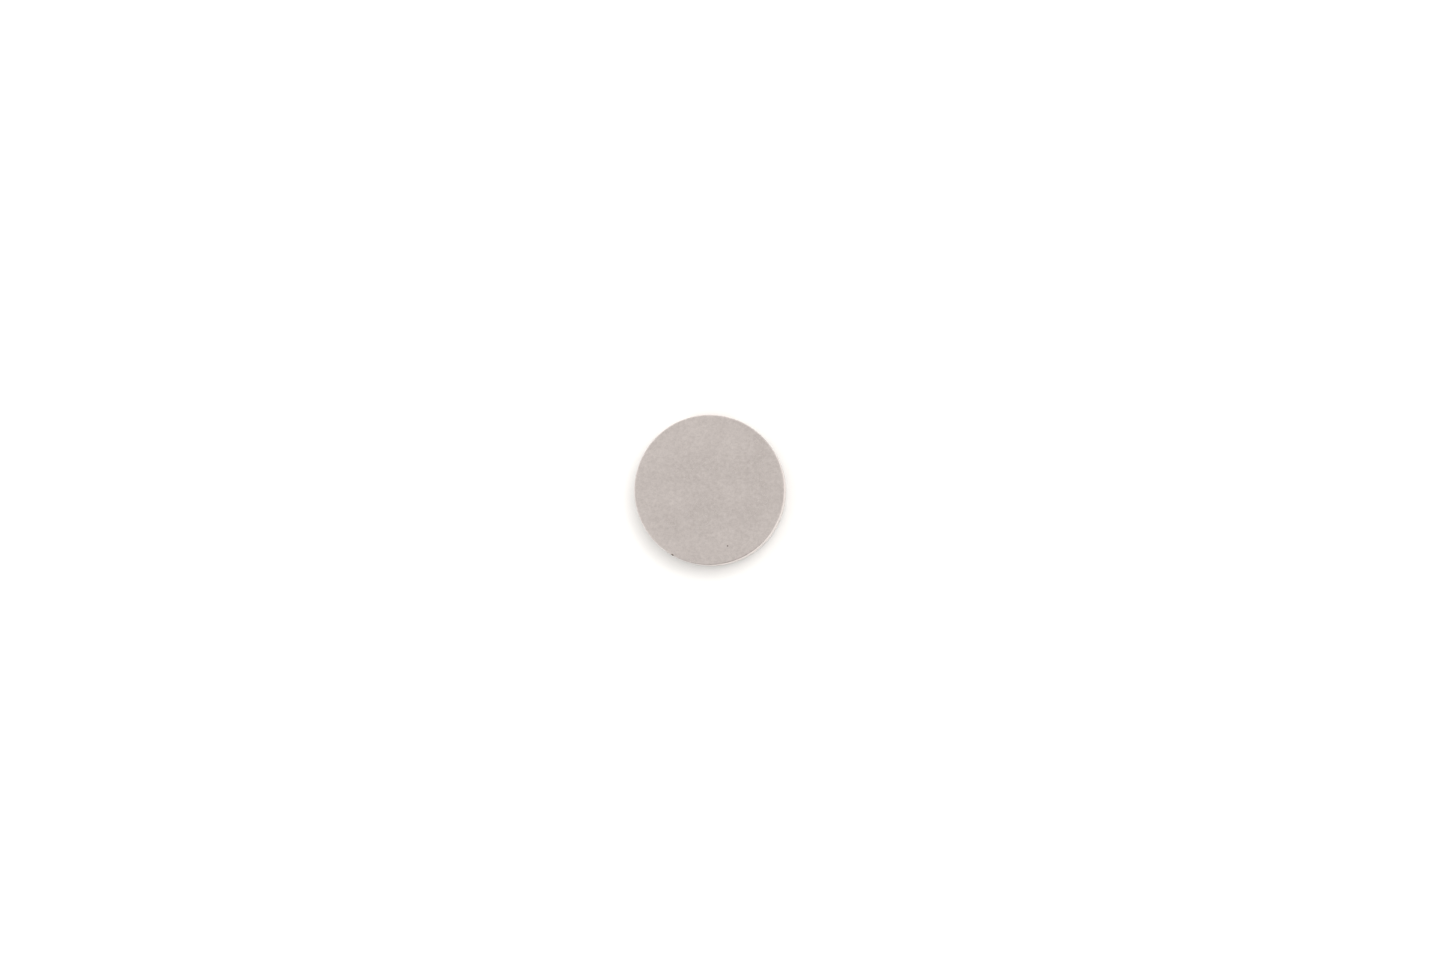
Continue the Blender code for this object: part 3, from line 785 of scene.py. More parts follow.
bush_form = lathe(bearing_line, 64, closed=True)
put("bearing_bush", bush_form, sintered_bronze, "rotor", ["bearing"])

# ---------------------------------------------------------------- rotor board
# A fan-shaped board of glass cloth and epoxy, routed to shape. The coils sit on top of it, and the
# commutator is etched underneath.

# Green solder mask over woven glass: glossy, with a faint weave, and bare straw-coloured laminate on the
# routed edges.
board_mask = new_material("solder_mask_on_glass_epoxy")
board_place = add_node(board_mask, "TexCoord")
place = board_place.outputs["Object"]
weave_size = 0.25  # spacing of the glass threads
weave_scale = per_mm(weave_size) * math.pi / 10  # a wave texture has 20 bands in 2 pi units at scale 1
threads = {"Vector": place, "Scale": weave_scale, "Distortion": 0.4}
warp = add_node(board_mask, "TexWave", threads, bands_direction="X")
weft = add_node(board_mask, "TexWave", threads, bands_direction="Y")
weave = add_node(board_mask, "Math", {0: warp.outputs["Fac"], 1: weft.outputs["Fac"]}, operation="MULTIPLY")
mask_green = add_node(
    board_mask, "Mix", {0: weave.outputs[0], 6: srgb("0f3d20"), 7: srgb("1d5c35")}, data_type="RGBA"
)
facing = add_node(board_mask, "SeparateXYZ", {"Vector": board_place.outputs["Normal"]}).outputs["Z"]
flatness = add_node(board_mask, "Math", {0: facing}, operation="ABSOLUTE")
on_face = add_node(
    board_mask, "MapRange", {"Value": flatness.outputs[0], "From Min": 0.5, "From Max": 0.7}
)
fibres = add_node(board_mask, "TexNoise", {"Vector": place, "Scale": per_mm(0.04), "Detail": 3.0})
laminate = add_node(
    board_mask, "Mix", {0: fibres.outputs["Fac"], 6: srgb("9d9257"), 7: srgb("cfc48c")}, data_type="RGBA"
)
board_colour = add_node(
    board_mask,
    "Mix",
    {0: on_face.outputs[0], 6: laminate.outputs[2], 7: mask_green.outputs[2]},
    data_type="RGBA",
)
board_roughness = add_node(
    board_mask, "MapRange", {"Value": on_face.outputs[0], "To Min": 0.75, "To Max": 0.3}
)
board_bump = add_node(
    board_mask, "Bump", {"Height": weave.outputs[0], "Strength": 0.25, "Distance": 0.004 / 1000}
)
board_surface = add_node(
    board_mask,
    "BsdfPrincipled",
    {
        "Base Color": board_colour.outputs[2],
        "Roughness": board_roughness.outputs[0],
        "IOR": 1.5,
        "Normal": board_bump.outputs[0],
    },
)
add_node(board_mask, "OutputMaterial", {"Surface": board_surface.outputs[0]})

put("coil_board", copy_of("rotor_board", 0.012), board_mask, "rotor", ["rotor_board"])

# ---------------------------------------------------------------- commutator
# Six segments of copper foil etched on the board's underside and plated with hard gold. The brushes wear
# a track round them.

worn_orbit = brush_lane  # each leaf runs straight past the axis this far off, and its tip touches there

# Worn hard gold: yellow outside the brushes' track, and in it greyer, ringed with fine scratches.
worn_gold = new_material("worn_hard_gold_plating")
place = add_node(worn_gold, "TexCoord").outputs["Object"]
off_axis = add_node(worn_gold, "Mapping", {"Vector": place, "Scale": (1.0, 1.0, 0.0)})
off_axis_length = add_node(worn_gold, "VectorMath", {0: off_axis.outputs[0]}, operation="LENGTH")
axis_distance = off_axis_length.outputs["Value"]
from_track = add_node(worn_gold, "Math", {0: axis_distance, 1: worn_orbit / 1000}, operation="SUBTRACT")
beside_track = add_node(worn_gold, "Math", {0: from_track.outputs[0]}, operation="ABSOLUTE")
in_track = add_node(
    worn_gold,
    "MapRange",
    {
        "Value": beside_track.outputs[0],
        "From Min": 0.17 / 1000,
        "From Max": 0.26 / 1000,
        "To Min": 1.0,
        "To Max": 0.0,
    },
)
ring_place = add_node(worn_gold, "CombineXYZ", {"X": axis_distance})
scratches = add_node(
    worn_gold, "TexNoise", {"Vector": ring_place.outputs[0], "Scale": per_mm(0.03), "Detail": 3.0}
)
wear = add_node(
    worn_gold, "Math", {0: in_track.outputs[0], 1: scratches.outputs["Fac"]}, operation="MULTIPLY"
)
wear_share = add_node(worn_gold, "MapRange", {"Value": wear.outputs[0], "From Min": 0.1, "From Max": 0.7})
worn_colour = add_node(
    worn_gold, "Mix", {0: wear_share.outputs[0], 6: srgb("e9bd66"), 7: srgb("8d795a")}, data_type="RGBA"
)
worn_roughness = add_node(
    worn_gold, "MapRange", {"Value": wear_share.outputs[0], "To Min": 0.34, "To Max": 0.2}
)
worn_bump = add_node(
    worn_gold, "Bump", {"Height": wear.outputs[0], "Strength": 0.4, "Distance": 0.003 / 1000}
)
worn_surface = add_node(
    worn_gold,
    "BsdfPrincipled",
    {
        "Base Color": worn_colour.outputs[2],
        "Metallic": 1.0,
        "Roughness": worn_roughness.outputs[0],
        "Normal": worn_bump.outputs[0],
    },
)
add_node(worn_gold, "OutputMaterial", {"Surface": worn_surface.outputs[0]})

for number in range(1, 7):
    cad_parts[f"commutator_segment_{number}"].material_slots[0].material = worn_gold

# ---------------------------------------------------------------- coils
# Two flat coils wound from enamelled copper wire, whose turns are bonded by heat. They sit in the
# moulding's round pockets.

coil_core_radius = 0.55
wire_across = 12
wire_layers = 11
groove = 0.022  # depth between neighbouring turns


def wound_side(start, end, turns):
    """A row of turns seen end on, from start to end, with the grooves between them to the left."""
    run = Vector(end) - Vector(start)
    inward = Vector((-run.y, run.x)).normalized()
    row = []
    for turn in range(turns):
        for share in (0.0, 0.16, 0.5, 0.84):
            hollow = groove * (1 - math.sin(math.pi * share))
            row.append(Vector(start) + run * (turn + share) / turns + inward * hollow)
    row.append(Vector(end) + inward * groove)
    return row


# Enamelled wire: copper red through a clear amber lacquer, each turn with its own gloss line.
enamelled_copper = new_material("enamelled_copper_wire")
place = add_node(enamelled_copper, "TexCoord").outputs["Object"]
wire_tone = add_node(enamelled_copper, "TexNoise", {"Vector": place, "Scale": per_mm(0.35), "Detail": 3.0})
wire_colour = add_node(
    enamelled_copper,
    "Mix",
    {0: wire_tone.outputs["Fac"], 6: srgb("a34a1f"), 7: srgb("d2733a")},
    data_type="RGBA",
)
wire_roughness = add_node(
    enamelled_copper, "MapRange", {"Value": wire_tone.outputs["Fac"], "To Min": 0.2, "To Max": 0.36}
)
drips = add_node(enamelled_copper, "TexNoise", {"Vector": place, "Scale": per_mm(0.06), "Detail": 2.0})
wire_bump = add_node(
    enamelled_copper, "Bump", {"Height": drips.outputs["Fac"], "Strength": 0.2, "Distance": 0.003 / 1000}
)
wire_surface = add_node(
    enamelled_copper,
    "BsdfPrincipled",
    {
        "Base Color": wire_colour.outputs[2],
        "Metallic": 0.9,
        "Roughness": wire_roughness.outputs[0],
        "Coat Weight": 0.7,
        "Coat Roughness": 0.12,
        "Normal": wire_bump.outputs[0],
    },
)
add_node(enamelled_copper, "OutputMaterial", {"Surface": wire_surface.outputs[0]})

for number in (1, 2):
    low, high = box_mm(f"coil_{number}")
    coil_radius = (high.x - low.x) / 2
    lower_inner = (coil_core_radius, low.z)
    lower_outer = (coil_radius, low.z)
    upper_outer = (coil_radius, high.z)
    upper_inner = (coil_core_radius, high.z)
    coil_line = (
        wound_side(lower_inner, lower_outer, wire_across)
        + wound_side(lower_outer, upper_outer, wire_layers)
        + wound_side(upper_outer, upper_inner, wire_across)
        + wound_side(upper_inner, lower_inner, wire_layers)
    )
    coil_form = moved(lathe(coil_line, 96, closed=True), (low.x + high.x) / 2, (low.y + high.y) / 2)
    put(f"winding_{number}", coil_form, enamelled_copper, "rotor", [f"coil_{number}"])

# ---------------------------------------------------------------- counterweight
# The heavy side: a fan pressed and sintered from tungsten powder with a little nickel and iron. Resin
# moulded round it holds it between the coils.

# Sintered tungsten: dark, dense grey with soft patches and a fine dry grain.
tungsten = new_material("sintered_tungsten_alloy")
place = add_node(tungsten, "TexCoord").outputs["Object"]
tungsten_grain = 0.05  # real grains are about 0.03 mm across, so these are drawn coarser
grains = add_node(tungsten, "TexVoronoi", {"Vector": place, "Scale": per_mm(tungsten_grain)})
patches = add_node(tungsten, "TexNoise", {"Vector": place, "Scale": per_mm(0.5), "Detail": 3.0})
dense_grey = add_node(
    tungsten, "Mix", {0: patches.outputs["Fac"], 6: srgb("6f7073"), 7: srgb("929395")}, data_type="RGBA"
)
grain_shade = add_node(
    tungsten,
    "MapRange",
    {"Value": grains.outputs["Distance"], "From Max": 0.6, "To Min": 0.86, "To Max": 1.0},
)
tungsten_colour = add_node(
    tungsten,
    "Mix",
    {0: 1.0, 6: dense_grey.outputs[2], 7: grain_shade.outputs[0]},
    data_type="RGBA",
    blend_type="MULTIPLY",
)
tungsten_roughness = add_node(
    tungsten, "MapRange", {"Value": patches.outputs["Fac"], "To Min": 0.38, "To Max": 0.55}
)
tungsten_bump = add_node(
    tungsten, "Bump", {"Height": grains.outputs["Distance"], "Strength": 0.35, "Distance": 0.004 / 1000}
)
tungsten_surface = add_node(
    tungsten,
    "BsdfPrincipled",
    {
        "Base Color": tungsten_colour.outputs[2],
        "Metallic": 1.0,
        "Roughness": tungsten_roughness.outputs[0],
        "Normal": tungsten_bump.outputs[0],
    },
)
add_node(tungsten, "OutputMaterial", {"Surface": tungsten_surface.outputs[0]})

weight_form = copy_of("counterweight", 0.035)
put("heavy_fan", weight_form, tungsten, "rotor", ["counterweight"])

# ---------------------------------------------------------------- rotor moulding
# Glass-filled resin injected round the bearing and on to the board, with a pocket for each coil and for
# the counterweight.

# Moulded black resin: satin, with short pale streaks where glass fibres lie near the skin.
resin = new_material("glass_filled_black_resin")
place = add_node(resin, "TexCoord").outputs["Object"]
flow = add_node(resin, "Mapping", {"Vector": place, "Rotation": (0, 0, 0.5), "Scale": (0.12, 1.0, 1.0)})
glass = add_node(resin, "TexNoise", {"Vector": flow.outputs[0], "Scale": per_mm(0.03), "Detail": 2.0})
fibre_share = add_node(
    resin, "MapRange", {"Value": glass.outputs["Fac"], "From Min": 0.6, "From Max": 0.75}
)
resin_colour = add_node(
    resin, "Mix", {0: fibre_share.outputs[0], 6: srgb("18181a"), 7: srgb("3a3a3b")}, data_type="RGBA"
)
resin_roughness = add_node(resin, "MapRange", {"Value": glass.outputs["Fac"], "To Min": 0.38, "To Max": 0.6})
resin_bump = add_node(
    resin, "Bump", {"Height": glass.outputs["Fac"], "Strength": 0.3, "Distance": 0.003 / 1000}
)
resin_surface = add_node(
    resin,
    "BsdfPrincipled",
    {
        "Base Color": resin_colour.outputs[2],
        "Roughness": resin_roughness.outputs[0],
        "IOR": 1.58,
        "Normal": resin_bump.outputs[0],
    },
)
add_node(resin, "OutputMaterial", {"Surface": resin_surface.outputs[0]})

moulding_form = copy_of("rotor_moulding", 0.018)
put("rotor_frame", moulding_form, resin, "rotor", ["rotor_moulding"])

# ---------------------------------------------------------------- coil ends
# Each coil's two wires cross the top of the hub and drop to three solder dots on the board behind it. The
# middle dot takes one wire from each coil.

for number in (1, 2, 3):
    bead_form = solder_bead(f"coil_terminal_{number}")
    put(f"terminal_bead_{number}", bead_form, solder, "rotor", [f"coil_terminal_{number}"])

lead_radius = 0.028
lead_z = box_mm("rotor_moulding")[1].z + lead_radius + 0.005
hub_radius = 1.26
down_wall = hub_radius + 0.08
outer_lane = 1.08
inner_lane = 0.92
spread = 6  # degrees to each side of the coil's own direction
bends_round_hub = 9


def at(radius, angle, z):
    return Vector((radius * math.cos(angle), radius * math.sin(angle), z))


for name, coil, terminal, lane_radius, aside in (
    ("coil_lead_1_outer", "coil_1", "coil_terminal_1", outer_lane, spread),
    ("coil_lead_1_inner", "coil_1", "coil_terminal_2", inner_lane, -spread),
    ("coil_lead_2_inner", "coil_2", "coil_terminal_2", inner_lane, spread),
    ("coil_lead_2_outer", "coil_2", "coil_terminal_3", outer_lane, -spread),
):
    coil_low, coil_high = box_mm(coil)
    coil_middle = (coil_low + coil_high) / 2
    bead_low, bead_high = box_mm(terminal)
    bead_middle = (bead_low + bead_high) / 2
    coil_angle = math.atan2(coil_middle.y, coil_middle.x)
    coil_angle += 2 * math.pi if coil == "coil_2" else 0
    leave = coil_angle + math.radians(aside)
    arrive = math.atan2(bead_middle.y, bead_middle.x)
    bead_orbit = math.hypot(bead_middle.x, bead_middle.y)
    # Up out of the winding, in over the moulding to the hub's top, round it, and down its wall to the bead.
    route = [
        at(1.85, leave, coil_high.z - 0.05),
        at(1.83, leave, coil_high.z + 0.04),
        at(1.70, leave, coil_high.z + 0.045),
        at(1.55, leave, coil_high.z + 0.06),
        at(1.36, leave, lead_z + 0.01),
    ]
    for step in range(1, bends_round_hub + 1):
        turned = leave + (arrive - leave) * step / (bends_round_hub + 1)
        route.append(at(lane_radius, turned, lead_z))
    route += [
        at(hub_radius - 0.08, arrive, lead_z),
        at(hub_radius + 0.05, arrive, lead_z - 0.02),
        at(down_wall, arrive, lead_z - 0.3),
        at(down_wall, arrive, bead_high.z + 0.2),
        at(bead_orbit - 0.12, arrive, bead_high.z + 0.06),
        at(bead_orbit, arrive, bead_high.z - 0.02),
    ]
    wire = bpy.data.curves.new(name, "CURVE")
    wire.dimensions = "3D"
    wire.bevel_depth = lead_radius / 1000
    wire.bevel_resolution = 3
    wire.use_fill_caps = True
    spline = wire.splines.new("NURBS")
    spline.points.add(len(route) - 1)
    for point, co in zip(spline.points, route):
        point.co = (*(co / 1000), 1.0)
    spline.order_u = 3
    spline.use_endpoint_u = True
    spline.resolution_u = 4
    wire.materials.append(enamelled_copper)
    lead = bpy.data.objects.new(name, wire)
    bpy.context.scene.collection.objects.link(lead)
    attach(lead, "rotor")

# ---------------------------------------------------------------- cover
# A cup drawn from thin steel sheet, trimmed at the rim, then tumbled and barrel plated with nickel.
# It drops over the base plate and is welded to it round the seam.

cover_low, cover_high = box_mm("cover")
can_radius = cover_high.x
cover_sheet = can_radius - plate_radius - sheet_gap
cover_corner = 0.09
inside_edge = 0.02
roof = cover_high.z - cover_sheet
seat_radius = shaft_high.x + sheet_gap
seat_top = shaft_high.z + sheet_gap
window_top = 0.65  # the circuit's tail leaves through a window in the skirt, as wide as the plate's notch

cover_line = rounded(
    [
        (0, cover_high.z, 0),
        (can_radius, cover_high.z, cover_corner),
        (can_radius, cover_low.z, 0.03),
        (can_radius - cover_sheet, cover_low.z, inside_edge),
        (can_radius - cover_sheet, roof, 0.08),
        (seat_radius, roof, inside_edge),
        (seat_radius, seat_top, inside_edge),
        (0, seat_top, 0),
    ],
    closed=False,
)
window = block((-window_half, can_radius / 2, cover_low.z - 1), (window_half, can_radius + 1, window_top))
cover_form = combined(lathe(cover_line, 288, closed=False), window, "DIFFERENCE")

# Satin nickel over drawn steel: a warm grey metal, with a fine, even grain and soft clouds on the face from
# tumbling, and upright draw marks on the wall.
satin_nickel = new_material("satin_nickel_plating")
place = add_node(satin_nickel, "TexCoord").outputs["Object"]
grain_size = 0.2  # the real grain is about 0.02 mm, too fine to show, so it is drawn coarser
grain = add_node(
    satin_nickel, "TexNoise", {"Vector": place, "Scale": per_mm(grain_size), "Detail": 6.0, "Roughness": 0.75}
)
cloud = add_node(satin_nickel, "TexNoise", {"Vector": place, "Scale": per_mm(2.4), "Detail": 2.0})

# The draw marks are a noise stretched up the wall, which fades out at the rounded edge above it.
mark_width = 0.09  # real marks are a few hundredths of a millimetre wide, so these are drawn coarser
stretch = add_node(satin_nickel, "Mapping", {"Vector": place, "Scale": (1.0, 1.0, 0.04)})
marks = add_node(
    satin_nickel, "TexNoise", {"Vector": stretch.outputs[0], "Scale": per_mm(mark_width), "Detail": 3.0}
)
height = add_node(satin_nickel, "SeparateXYZ", {"Vector": place}).outputs["Z"]
on_wall = add_node(
    satin_nickel,
    "MapRange",
    {
        "Value": height,
        "From Min": (cover_high.z - cover_corner - 0.06) / 1000,
        "From Max": (cover_high.z - 0.02) / 1000,
        "To Min": 1.0,
        "To Max": 0.0,
    },
)
face_tone = add_node(
    satin_nickel,
    "Math",
    {0: cloud.outputs["Fac"], 1: 0.3, 2: grain.outputs["Fac"]},
    operation="MULTIPLY_ADD",
)
wall_tone = add_node(
    satin_nickel,
    "Math",
    {0: marks.outputs["Fac"], 1: 0.85, 2: 0.2},
    operation="MULTIPLY_ADD",
)
tone = add_node(
    satin_nickel, "Mix", {0: on_wall.outputs[0], 2: face_tone.outputs[0], 3: wall_tone.outputs[0]}
)
tone_share = add_node(
    satin_nickel, "MapRange", {"Value": tone.outputs[0], "From Min": 0.35, "From Max": 0.95}
)
nickel_colour = add_node(
    satin_nickel,
    "Mix",
    {0: tone_share.outputs[0], 6: srgb("cdc4c0"), 7: srgb("f4ebe7")},
    data_type="RGBA",
)

# Two specks of dirt lie on the can: a small one on its face and a larger one on the rounded edge.
specks = None
for speck_x, speck_y, drop, size in ((1.22, -3.72, 0, 0.055), (-2.46, -4.33, 0.02, 0.1)):
    speck = (speck_x / 1000, speck_y / 1000, (cover_high.z - drop) / 1000)
    away = add_node(satin_nickel, "VectorMath", {0: place, 1: speck}, operation="DISTANCE")
    spot = add_node(
        satin_nickel,
        "MapRange",
        {
            "Value": away.outputs["Value"],
            "From Min": size * 0.5 / 1000,
            "From Max": size / 1000,
            "To Min": 1.0,
            "To Max": 0.0,
        },
    )
    if specks is None:
        specks = spot.outputs[0]
    else:
        both = add_node(satin_nickel, "Math", {0: specks, 1: spot.outputs[0]}, operation="MAXIMUM")
        specks = both.outputs[0]
spotted_colour = add_node(
    satin_nickel, "Mix", {0: specks, 6: nickel_colour.outputs[2], 7: srgb("5a463a")}, data_type="RGBA"
)
wall_marks = add_node(
    satin_nickel, "Math", {0: marks.outputs["Fac"], 1: on_wall.outputs[0]}, operation="MULTIPLY"
)
relief = add_node(
    satin_nickel,
    "Math",
    {0: wall_marks.outputs[0], 1: 1.6, 2: grain.outputs["Fac"]},
    operation="MULTIPLY_ADD",
)
nickel_bump = add_node(
    satin_nickel, "Bump", {"Height": relief.outputs[0], "Strength": 0.35, "Distance": 0.004 / 1000}
)
dullness = add_node(
    satin_nickel,
    "Math",
    {0: wall_marks.outputs[0], 1: 3.0, 2: cloud.outputs["Fac"]},
    operation="MULTIPLY_ADD",
)
nickel_roughness = add_node(
    satin_nickel,
    "MapRange",
    {"Value": dullness.outputs[0], "From Min": 0.3, "From Max": 2.7, "To Min": 0.27, "To Max": 0.39},
)
nickel_surface = add_node(
    satin_nickel,
    "BsdfPrincipled",
    {
        "Base Color": spotted_colour.outputs[2],
        "Metallic": 1.0,
        "Roughness": nickel_roughness.outputs[0],
        "Normal": nickel_bump.outputs[0],
    },
)
add_node(satin_nickel, "OutputMaterial", {"Surface": nickel_surface.outputs[0]})

put("cover_shell", cover_form, satin_nickel, "housing", ["cover"])

# ---------------------------------------------------------------- weld spots
# Six laser welds hold the cover to the base plate. Each is a low, round nugget on the seam underneath,
# with rings frozen into it as it cooled.

weld_count = 6
weld_radius = 0.13
weld_rise = 0.02
weld_rings = 4
weld_steps = 6 * weld_rings
weld_orbit = can_radius - cover_sheet

# Bare steel melted and frozen: dull silver, blotched at random with a straw to brown heat tint.
weld_metal = new_material("laser_welded_steel")
place = add_node(weld_metal, "TexCoord").outputs["Object"]
scale_noise = add_node(weld_metal, "TexNoise", {"Vector": place, "Scale": per_mm(0.05), "Detail": 3.0})
tint = add_node(weld_metal, "ValToRGB", {"Fac": scale_noise.outputs["Fac"]})
tint.color_ramp.elements[0].position = 0.35
tint.color_ramp.elements[0].color = srgb("8c7458")
tint.color_ramp.elements[1].position = 0.62
tint.color_ramp.elements[1].color = srgb("b9b3ab")
weld_roughness = add_node(
    weld_metal, "MapRange", {"Value": scale_noise.outputs["Fac"], "To Min": 0.3, "To Max": 0.5}
)
weld_bump = add_node(
    weld_metal, "Bump", {"Height": scale_noise.outputs["Fac"], "Strength": 0.3, "Distance": 0.004 / 1000}
)
weld_surface = add_node(
    weld_metal,
    "BsdfPrincipled",
    {
        "Base Color": tint.outputs["Color"],
        "Metallic": 1.0,
        "Roughness": weld_roughness.outputs[0],
        "Normal": weld_bump.outputs[0],
    },
)
add_node(weld_metal, "OutputMaterial", {"Surface": weld_surface.outputs[0]})

for number in range(weld_count):
    nugget = [(0, cover_low.z + sheet_gap), (weld_radius, cover_low.z + sheet_gap)]
    for step in range(1, weld_steps + 1):
        out = 1 - step / weld_steps
        ripple = 0.85 + 0.15 * math.cos(2 * math.pi * weld_rings * out)
        nugget.append((weld_radius * out, cover_low.z - weld_rise * (1 - out**2) * ripple))
    angle = 2 * math.pi * number / weld_count
    weld_form = lathe(nugget, 32, closed=False)
    moved(weld_form, weld_orbit * math.cos(angle), weld_orbit * math.sin(angle))
    put(f"weld_spot_{number + 1}", weld_form, weld_metal, "housing")

# ---------------------------------------------------------------- adhesive pad
# A disc die-cut from double-sided foam tape, with a slot that leaves the circuit's tail bare. Its glue
# holds it to the base plate, and the motor to whatever it shakes.

tape_low, tape_high = box_mm("adhesive_pad")
tape_radius = tape_high.x
slot_end = contact_low.y - 0.37
mouth = math.atan2(math.sqrt(tape_radius**2 - window_half**2), window_half)
rim_steps = 160
tape_corners = []
for step in range(rim_steps + 1):
    angle = math.pi - mouth + (math.pi + 2 * mouth) * step / rim_steps
    tape_corners.append((tape_radius * math.cos(angle), tape_radius * math.sin(angle), 0))
slot_corner = 0.2
tape_corners += [(window_half, slot_end, slot_corner), (-window_half, slot_end, slot_corner)]

# Acrylic foam between two clear layers of glue: soft off-white with fine cells and a shiny skin.
foam = new_material("acrylic_foam_tape")
place = add_node(foam, "TexCoord").outputs["Object"]
cell_size = 0.12  # real cells are about 0.05 mm across, so these are drawn coarser
cells = add_node(foam, "TexVoronoi", {"Vector": place, "Scale": per_mm(cell_size)}, feature="SMOOTH_F1")
tape_height = add_node(foam, "SeparateXYZ", {"Vector": place}).outputs["Z"]
mid_height = (tape_low.z + tape_high.z) / 2 / 1000
half_sheet = (tape_high.z - tape_low.z) / 2 / 1000
off_middle = add_node(foam, "Math", {0: tape_height, 1: mid_height}, operation="SUBTRACT")
from_middle = add_node(foam, "Math", {0: off_middle.outputs[0]}, operation="ABSOLUTE")
in_glue = add_node(
    foam,
    "MapRange",
    {
        "Value": from_middle.outputs[0],
        "From Min": half_sheet * 0.62,
        "From Max": half_sheet * 0.72,
    },
)
foam_white = add_node(
    foam, "Mix", {0: cells.outputs["Distance"], 6: srgb("c3beb2"), 7: srgb("ece9e2")}, data_type="RGBA"
)
glue_colour = add_node(
    foam, "Mix", {0: cells.outputs["Distance"], 6: srgb("b7b2a4"), 7: srgb("dedace")}, data_type="RGBA"
)
foam_colour = add_node(
    foam,
    "Mix",
    {0: in_glue.outputs[0], 6: foam_white.outputs[2], 7: glue_colour.outputs[2]},
    data_type="RGBA",
)
foam_roughness = add_node(foam, "MapRange", {"Value": in_glue.outputs[0], "To Min": 0.8, "To Max": 0.35})
foam_bump = add_node(
    foam, "Bump", {"Height": cells.outputs["Distance"], "Strength": 0.4, "Distance": 0.01 / 1000}
)
foam_surface = add_node(
    foam,
    "BsdfPrincipled",
    {
        "Base Color": foam_colour.outputs[2],
        "Roughness": foam_roughness.outputs[0],
        "IOR": 1.47,
        "Normal": foam_bump.outputs[0],
    },
)
add_node(foam, "OutputMaterial", {"Surface": foam_surface.outputs[0]})

tape_form = slab(rounded(tape_corners, closed=True), tape_low.z, tape_high.z, 0.012)
put("foam_tape", tape_form, foam, "housing", ["adhesive_pad"])

# ---------------------------------------------------------------- stage
# The motor lies on a white sheet of paper in a pale room, under one broad soft lamp on the ceiling and a
# smaller one to the upper right, which casts its short shadow. The metal shows the room and the paper.

paper = new_material("white_paper")
paper_place = add_node(paper, "TexCoord").outputs["Object"]
fibre = add_node(paper, "TexNoise", {"Vector": paper_place, "Scale": per_mm(0.5), "Detail": 3.0})
paper_bump = add_node(
    paper, "Bump", {"Height": fibre.outputs["Fac"], "Strength": 0.15, "Distance": 0.02 / 1000}
)
paper_surface = add_node(
    paper,
    "BsdfPrincipled",
    {
        "Base Color": srgb("f8f7f5"),
        "Roughness": 0.9,
        "Specular IOR Level": 0.2,
        "Normal": paper_bump.outputs[0],
    },
)
add_node(paper, "OutputMaterial", {"Surface": paper_surface.outputs[0]})

floor_mesh = bpy.data.meshes.new("paper_sheet")
floor_form = bmesh.new()
bmesh.ops.create_circle(floor_form, cap_ends=True, radius=2.0, segments=96)  # metres
floor_form.to_mesh(floor_mesh)
floor_form.free()
floor_mesh.materials.append(paper)
floor = bpy.data.objects.new("paper_sheet", floor_mesh)
floor.location.z = -0.005 / 1000  # a hair below the tape, so that the two don't share a plane
bpy.context.scene.collection.objects.link(floor)

# The room is darker on its near side and towards the horizon, which draws the dark line round the near
# edge of the can, and a little darker straight above.
room = bpy.data.worlds.new("pale_room")
bpy.context.scene.world = room
room.use_nodes = True
room.node_tree.nodes.clear()
direction = add_node(room, "TexCoord").outputs["Generated"]
compass = add_node(room, "SeparateXYZ", {"Vector": direction})
near_side = (0.20, -0.98, 0.0)
toward_near_side = add_node(room, "VectorMath", {0: direction, 1: near_side}, operation="DOT_PRODUCT")
away_from_near_side = add_node(
    room,
    "MapRange",
    {"Value": toward_near_side.outputs["Value"], "From Min": 0.86, "From Max": 0.35},
    interpolation_type="SMOOTHSTEP",
)
above_horizon = add_node(
    room,
    "MapRange",
    {"Value": compass.outputs["Z"], "From Min": 0.1, "From Max": 0.62, "To Min": 0.5, "To Max": 1.0},
    interpolation_type="SMOOTHSTEP",
)
toward_zenith = add_node(
    room,
    "MapRange",
    {"Value": compass.outputs["Z"], "From Min": 0.77, "From Max": 0.95},
    interpolation_type="SMOOTHSTEP",
)
near_wall = (0.300, 0.295, 0.289, 1.0)
far_walls = (0.980, 0.976, 0.970, 1.0)
ceiling = (0.715, 0.704, 0.689, 1.0)
walls = add_node(
    room,
    "Mix",
    {0: away_from_near_side.outputs[0], 6: near_wall, 7: far_walls},
    data_type="RGBA",
)
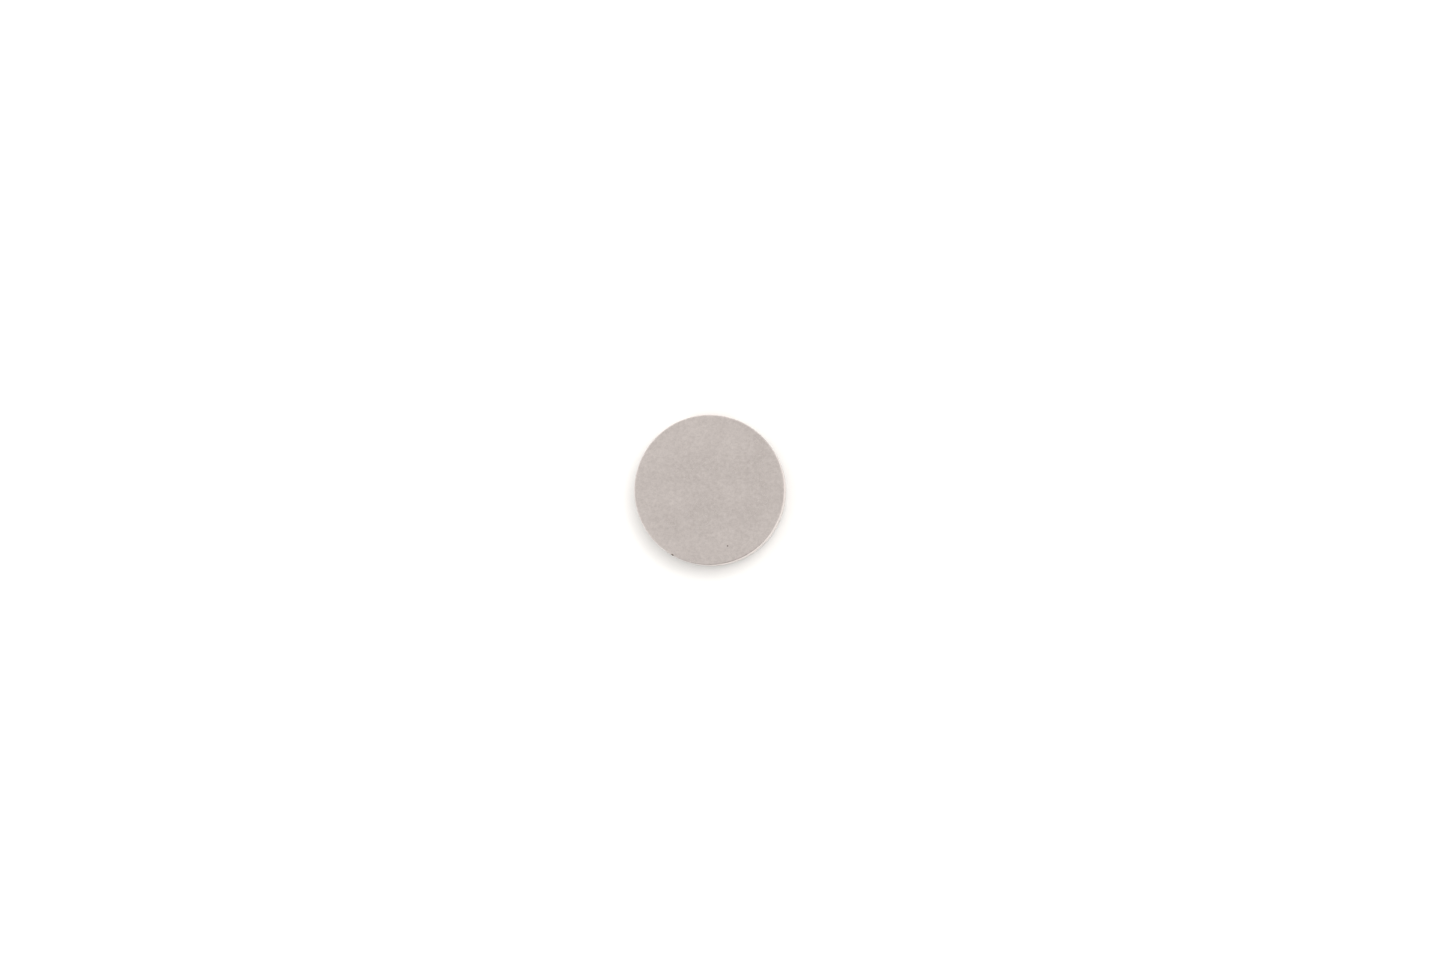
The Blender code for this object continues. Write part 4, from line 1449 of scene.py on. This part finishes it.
shaded_walls = add_node(
    room,
    "Mix",
    {0: 1.0, 6: walls.outputs[2], 7: above_horizon.outputs[0]},
    data_type="RGBA",
    blend_type="MULTIPLY",
)
room_colour = add_node(
    room,
    "Mix",
    {0: toward_zenith.outputs[0], 6: shaded_walls.outputs[2], 7: ceiling},
    data_type="RGBA",
)
background = add_node(room, "Background", {"Color": room_colour.outputs[2], "Strength": 1.0})
add_node(room, "OutputWorld", {"Surface": background.outputs[0]})


def lamp(name, place_mm, across, watts, colour):
    """A round soft box, this many millimetres across, that faces the motor and isn't seen in it."""
    light = bpy.data.lights.new(name, "AREA")
    light.shape = "DISK"
    light.size = across / 1000
    light.energy = watts
    light.color = colour
    soft_box = bpy.data.objects.new(name, light)
    soft_box.location = Vector(place_mm) / 1000
    soft_box.rotation_euler = Vector(place_mm).to_track_quat("Z", "Y").to_euler()
    soft_box.visible_glossy = False
    soft_box.visible_camera = False
    bpy.context.scene.collection.objects.link(soft_box)


lamp("ceiling_lamp", (0, 0, 300), 440, 0.43, (1.0, 1.0, 1.0))
lamp("key_lamp", (30, 28, 155), 70, 0.068, (1.0, 0.985, 0.97))

# The camera looks almost straight down, leaning a little towards the lower right of its view.
lens = 90.0
sensor = 36.0
view_width = 96.0  # millimetres across the view at the motor
lean = math.radians(4.0)
lean_heading = math.radians(-35)
right_of_motor = 0.88  # the middle of the view falls this far from the middle of the can
above_motor = 0.76
distance = view_width * lens / sensor
top_centre = Vector((0, 0, cover_high.z))
back = Vector(
    (
        math.sin(lean) * math.cos(lean_heading),
        math.sin(lean) * math.sin(lean_heading),
        math.cos(lean),
    )
)
right = Vector((0, 1, 0)).cross(back).normalized()
up = back.cross(right)
aim = top_centre + right * right_of_motor + up * above_motor
camera = bpy.data.cameras.new("camera")
camera.lens = lens
camera.sensor_width = sensor
camera.clip_start = 0.01
camera_holder = bpy.data.objects.new("camera", camera)
turn = Matrix((right, up, back)).transposed().to_4x4()
camera_holder.matrix_world = Matrix.Translation((aim + back * distance) / 1000) @ turn
bpy.context.scene.collection.objects.link(camera_holder)
bpy.context.scene.camera = camera_holder
bpy.context.scene.view_settings.view_transform = "Standard"
